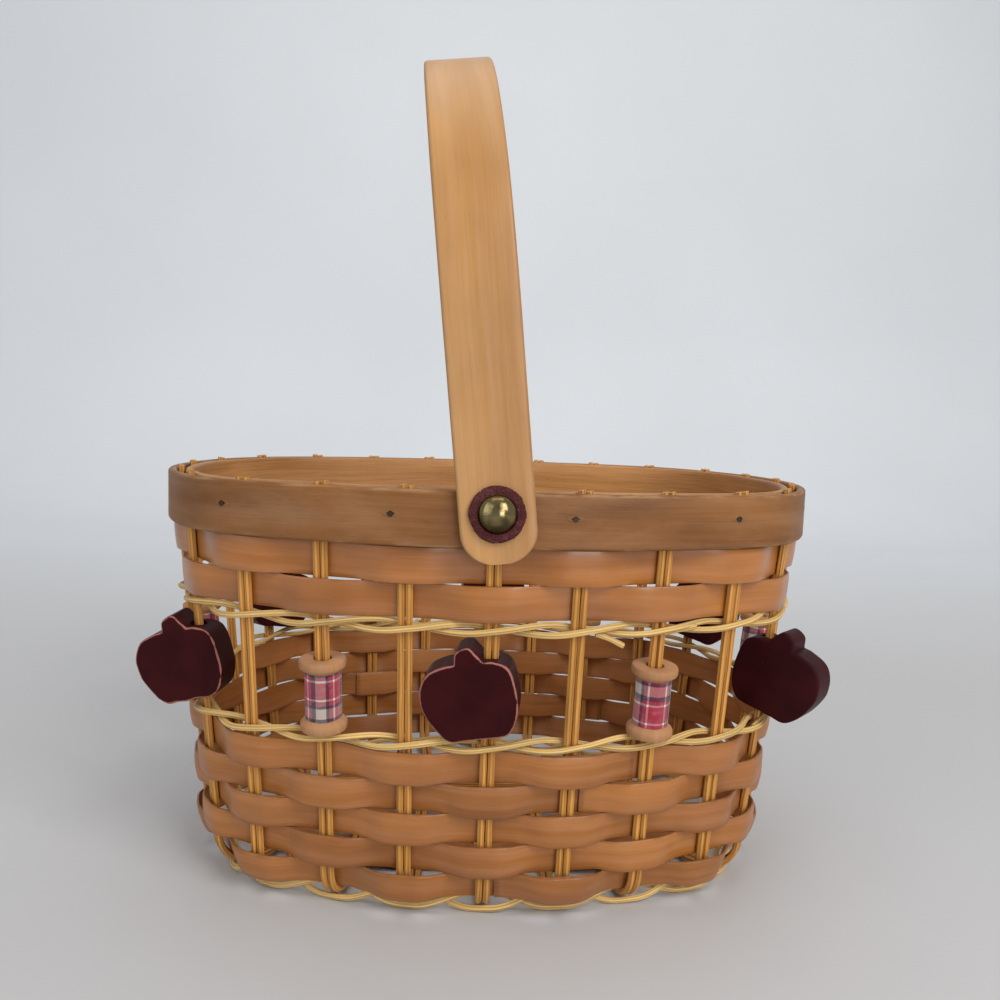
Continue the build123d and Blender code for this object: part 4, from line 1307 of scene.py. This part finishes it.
class BASKET_OT_spools(BuildOperator, bpy.types.Operator):
    """Turned wooden spools with plaid cloth round them"""

    bl_idname = "basket.spools"
    bl_label = "Spools"

    def spool(self, number, base, up, right):
        """A turned profile: bore, rounded flange, bevel and barrel, mirrored top to bottom."""
        z, around = self.sizes, 64
        hole, barrel, rim = z.ornament_bore / 2, z.barrel_diameter / 2, z.spool_diameter / 2
        tall, thick = z.spool_height, z.flange
        bevelled = thick + z.flange_bevel
        half = [
            (hole, tall / 2), (hole, 0.0009), (hole + 0.0003, 0.0002), (hole + 0.0008, 0.00003),
            (rim - 0.0009, 0.00003), (rim - 0.0003, 0.0003), (rim - 0.00002, 0.0010),
            (rim - 0.00002, thick - 0.0006), (rim - 0.0003, thick - 0.0001),
            (barrel + 0.0004, bevelled - 0.0002), (barrel, bevelled), (barrel, tall / 2),
        ]
        profile = np.array(half + [(r, tall - h) for r, h in half[-2::-1]][:-1])
        grid = revolve(profile, base, up, right, around)
        spoke = (grid - base) - ((grid - base) @ up)[..., None] * up
        uneven = 0.004 * wobble(shares(around), 800 + number, 3)
        grid = grid + spoke * uneven[:, None, None] * (profile[:, 0] > barrel + 0.001)[None, :, None]
        round_run = np.arange(around + 1) / around * TAU * rim
        uv = pairs(closed(profile[:, 1])[None, :] + number, round_run[:, None])
        values = {"edge": np.clip((profile[:, 0] - rim + 0.0006) / 0.0005, 0, 1)}
        name = f"turned_spool_{number}"
        return surface(name, grid, uv, wrap_u=True, wrap_v=True, sharp=38, values=values)

    def sleeve(self, number, base, up, right, front):
        """A cloth ring on the barrel: puffed by waves between its ends, with a ragged top and bottom."""
        z, around = self.sizes, 96
        barrel = z.barrel_diameter / 2
        inner, outer = barrel + 0.00002, barrel + z.cloth
        low = z.flange + z.flange_bevel + 0.0001
        high = z.spool_height - low
        levels = np.linspace(low, high, 30)
        share = shares(around)
        belly = np.sin(pi * (levels - low) / (high - low)) ** 0.3
        skin = outer - 0.00012 + 0.00012 * wobble(share, 820 + number, 12)[:, None] * belly[None, :]
        at_end = np.abs(levels - (low + high) / 2) > (high - low) / 2 - 0.0006
        heights = levels[None, :] + 0.00022 * wobble(share, 840 + number, 20)[:, None] * at_end[None, :]
        back = np.broadcast_to([[inner, high], [inner, low]], (around, 2, 2))
        ring = np.concatenate([np.stack([skin, heights], -1), back], 1)
        angle = share[:, None] * TAU
        spoke = np.cos(angle) * right - np.sin(angle) * front
        grid = base + spoke[:, None] * ring[..., :1] + up * ring[..., 1:]
        round_run = np.arange(around + 1) / around * TAU * outer
        cloth_up = np.concatenate([levels, [high, low, low]])
        uv = pairs(round_run[:, None] + 0.0045 * number, cloth_up[None, :] + 0.0021 * number)
        return surface(f"plaid_sleeve_{number}", grid, uv, wrap_u=True, wrap_v=True, sharp=60)

    def execute(self, context):
        wall = Wall(self.sizes)
        bare = wood("bare_spool_wood", self.colours.spool, 0.25, 0.04, 0.05, 0.05, 0.6, bump=0.02, edge=0.2)
        cloth = woven_plaid()
        for number, station in enumerate(range(2, self.sizes.stations, 4), start=1):
            name = f"spool_{number}"
            base, up, right, front = ornament_axes(name, wall, station, 0)
            dress(self.spool(number, base, up, right), bare, name, "spool_wood", name)
            sleeve = self.sleeve(number, base, up, right, front)
            dress(sleeve, cloth, name, "plaid_cotton", f"fabric_wrap_{number}")
        return {"FINISHED"}


class BASKET_OT_stage(BuildOperator, bpy.types.Operator):
    """Pale floor and backdrop, soft lamps and the camera"""

    bl_idname = "basket.stage"
    bl_label = "Stage"

    def sweep(self):
        """A floor that turns up into a backdrop by a quarter of a circle."""
        start, radius, below = 0.9, 0.35, 0.00005
        x = np.linspace(-3.0, 3.0, 13)
        bend = np.linspace(0, pi / 2, 14)
        y = np.concatenate([[-2.5, -1.0, 0.0], start + radius * np.sin(bend), [start + radius] * 2])
        height = np.concatenate([[0, 0, 0], radius * (1 - np.cos(bend)), [1.2, 3.0]]) - below
        grid = np.stack(np.broadcast_arrays(x[:, None], y[None, :], height[None, :]), -1)
        floor = surface("pale_sweep", grid, grid[..., :2])
        floor.data.materials.append(pale_paint(self.colours.floor, self.colours.backdrop))

    def lamps(self, scene):
        """Square area lamps that look at the basket."""
        lamps = [
            ("key", (0.9, -1.1, 1.25), 0.12, 0.9, 18.0, (1.0, 0.985, 0.965)),
            ("fill", (-1.3, -0.9, 0.8), 0.12, 1.4, 8.0, (0.96, 0.98, 1.0)),
            ("top", (0.0, 0.3, 1.6), 0.1, 1.2, 5.6, (1.0, 1.0, 1.0)),
            ("window", (0.55, -1.35, 0.34), 0.1, 0.5, 5.0, (1.0, 0.99, 0.97)),
        ]
        for name, place, target, width, power, colour in lamps:
            lamp = bpy.data.lights.new(name, "AREA")
            lamp.shape, lamp.size, lamp.size_y = "RECTANGLE", width, width
            lamp.energy, lamp.color = power, colour
            holder = bpy.data.objects.new(name, lamp)
            holder.location = place
            away = Vector((0.0, 0.0, target)) - Vector(place)
            holder.rotation_euler = away.to_track_quat("-Z", "Y").to_euler()
            scene.collection.objects.link(holder)

    def camera(self, scene):
        camera = bpy.data.cameras.new("camera")
        camera.sensor_width, camera.lens = 36.0, 32.31
        turn = Matrix.Identity(4)
        for angle, axis in ((-2.46, "Z"), (84.59, "X"), (1.94, "Z")):
            turn = turn @ Matrix.Rotation(radians(angle), 4, axis)
        holder = bpy.data.objects.new("camera", camera)
        holder.matrix_world = Matrix.Translation((-0.0116, -0.3913, 0.1802)) @ turn
        scene.collection.objects.link(holder)
        scene.camera = holder

    def execute(self, context):
        scene = context.scene
        self.sweep()
        self.lamps(scene)
        self.camera(scene)
        world = bpy.data.worlds.new("room")
        world.use_nodes = True
        sky = world.node_tree.nodes["Background"]
        sky.inputs["Color"].default_value = (0.92, 0.95, 0.98, 1)
        sky.inputs["Strength"].default_value = 0.45
        scene.world = world
        scene.view_settings.view_transform = "Standard"
        return {"FINISHED"}


OPERATORS = (
    BASKET_OT_rim,
    BASKET_OT_handle,
    BASKET_OT_rivets,
    BASKET_OT_rows,
    BASKET_OT_reeds,
    BASKET_OT_twining,
    BASKET_OT_apples,
    BASKET_OT_spools,
    BASKET_OT_stage,
)


class BASKET_PT_panel(bpy.types.Panel):
    """Lists the basket's pieces"""

    bl_idname = "BASKET_PT_panel"
    bl_label = "Woven Oval Basket"
    bl_space_type = "VIEW_3D"
    bl_region_type = "UI"
    bl_category = "Basket"

    def draw(self, context):
        for operator in OPERATORS:
            self.layout.operator(operator.bl_idname)
        for group in (context.scene.basket_sizes, context.scene.basket_colours):
            box = self.layout.box()
            for key in group.__annotations__:
                box.prop(group, key)


CLASSES = (BasketSizes, BasketColours, *OPERATORS, BASKET_PT_panel)


def register():
    for cls in CLASSES:
        bpy.utils.register_class(cls)
    bpy.types.Scene.basket_sizes = PointerProperty(type=BasketSizes)
    bpy.types.Scene.basket_colours = PointerProperty(type=BasketColours)


def unregister():
    del bpy.types.Scene.basket_colours
    del bpy.types.Scene.basket_sizes
    for cls in reversed(CLASSES):
        bpy.utils.unregister_class(cls)


def main():
    register()
    for operator in OPERATORS:
        group, name = operator.bl_idname.split(".")
        getattr(getattr(bpy.ops, group), name)()


if __name__ == "__main__":
    main()
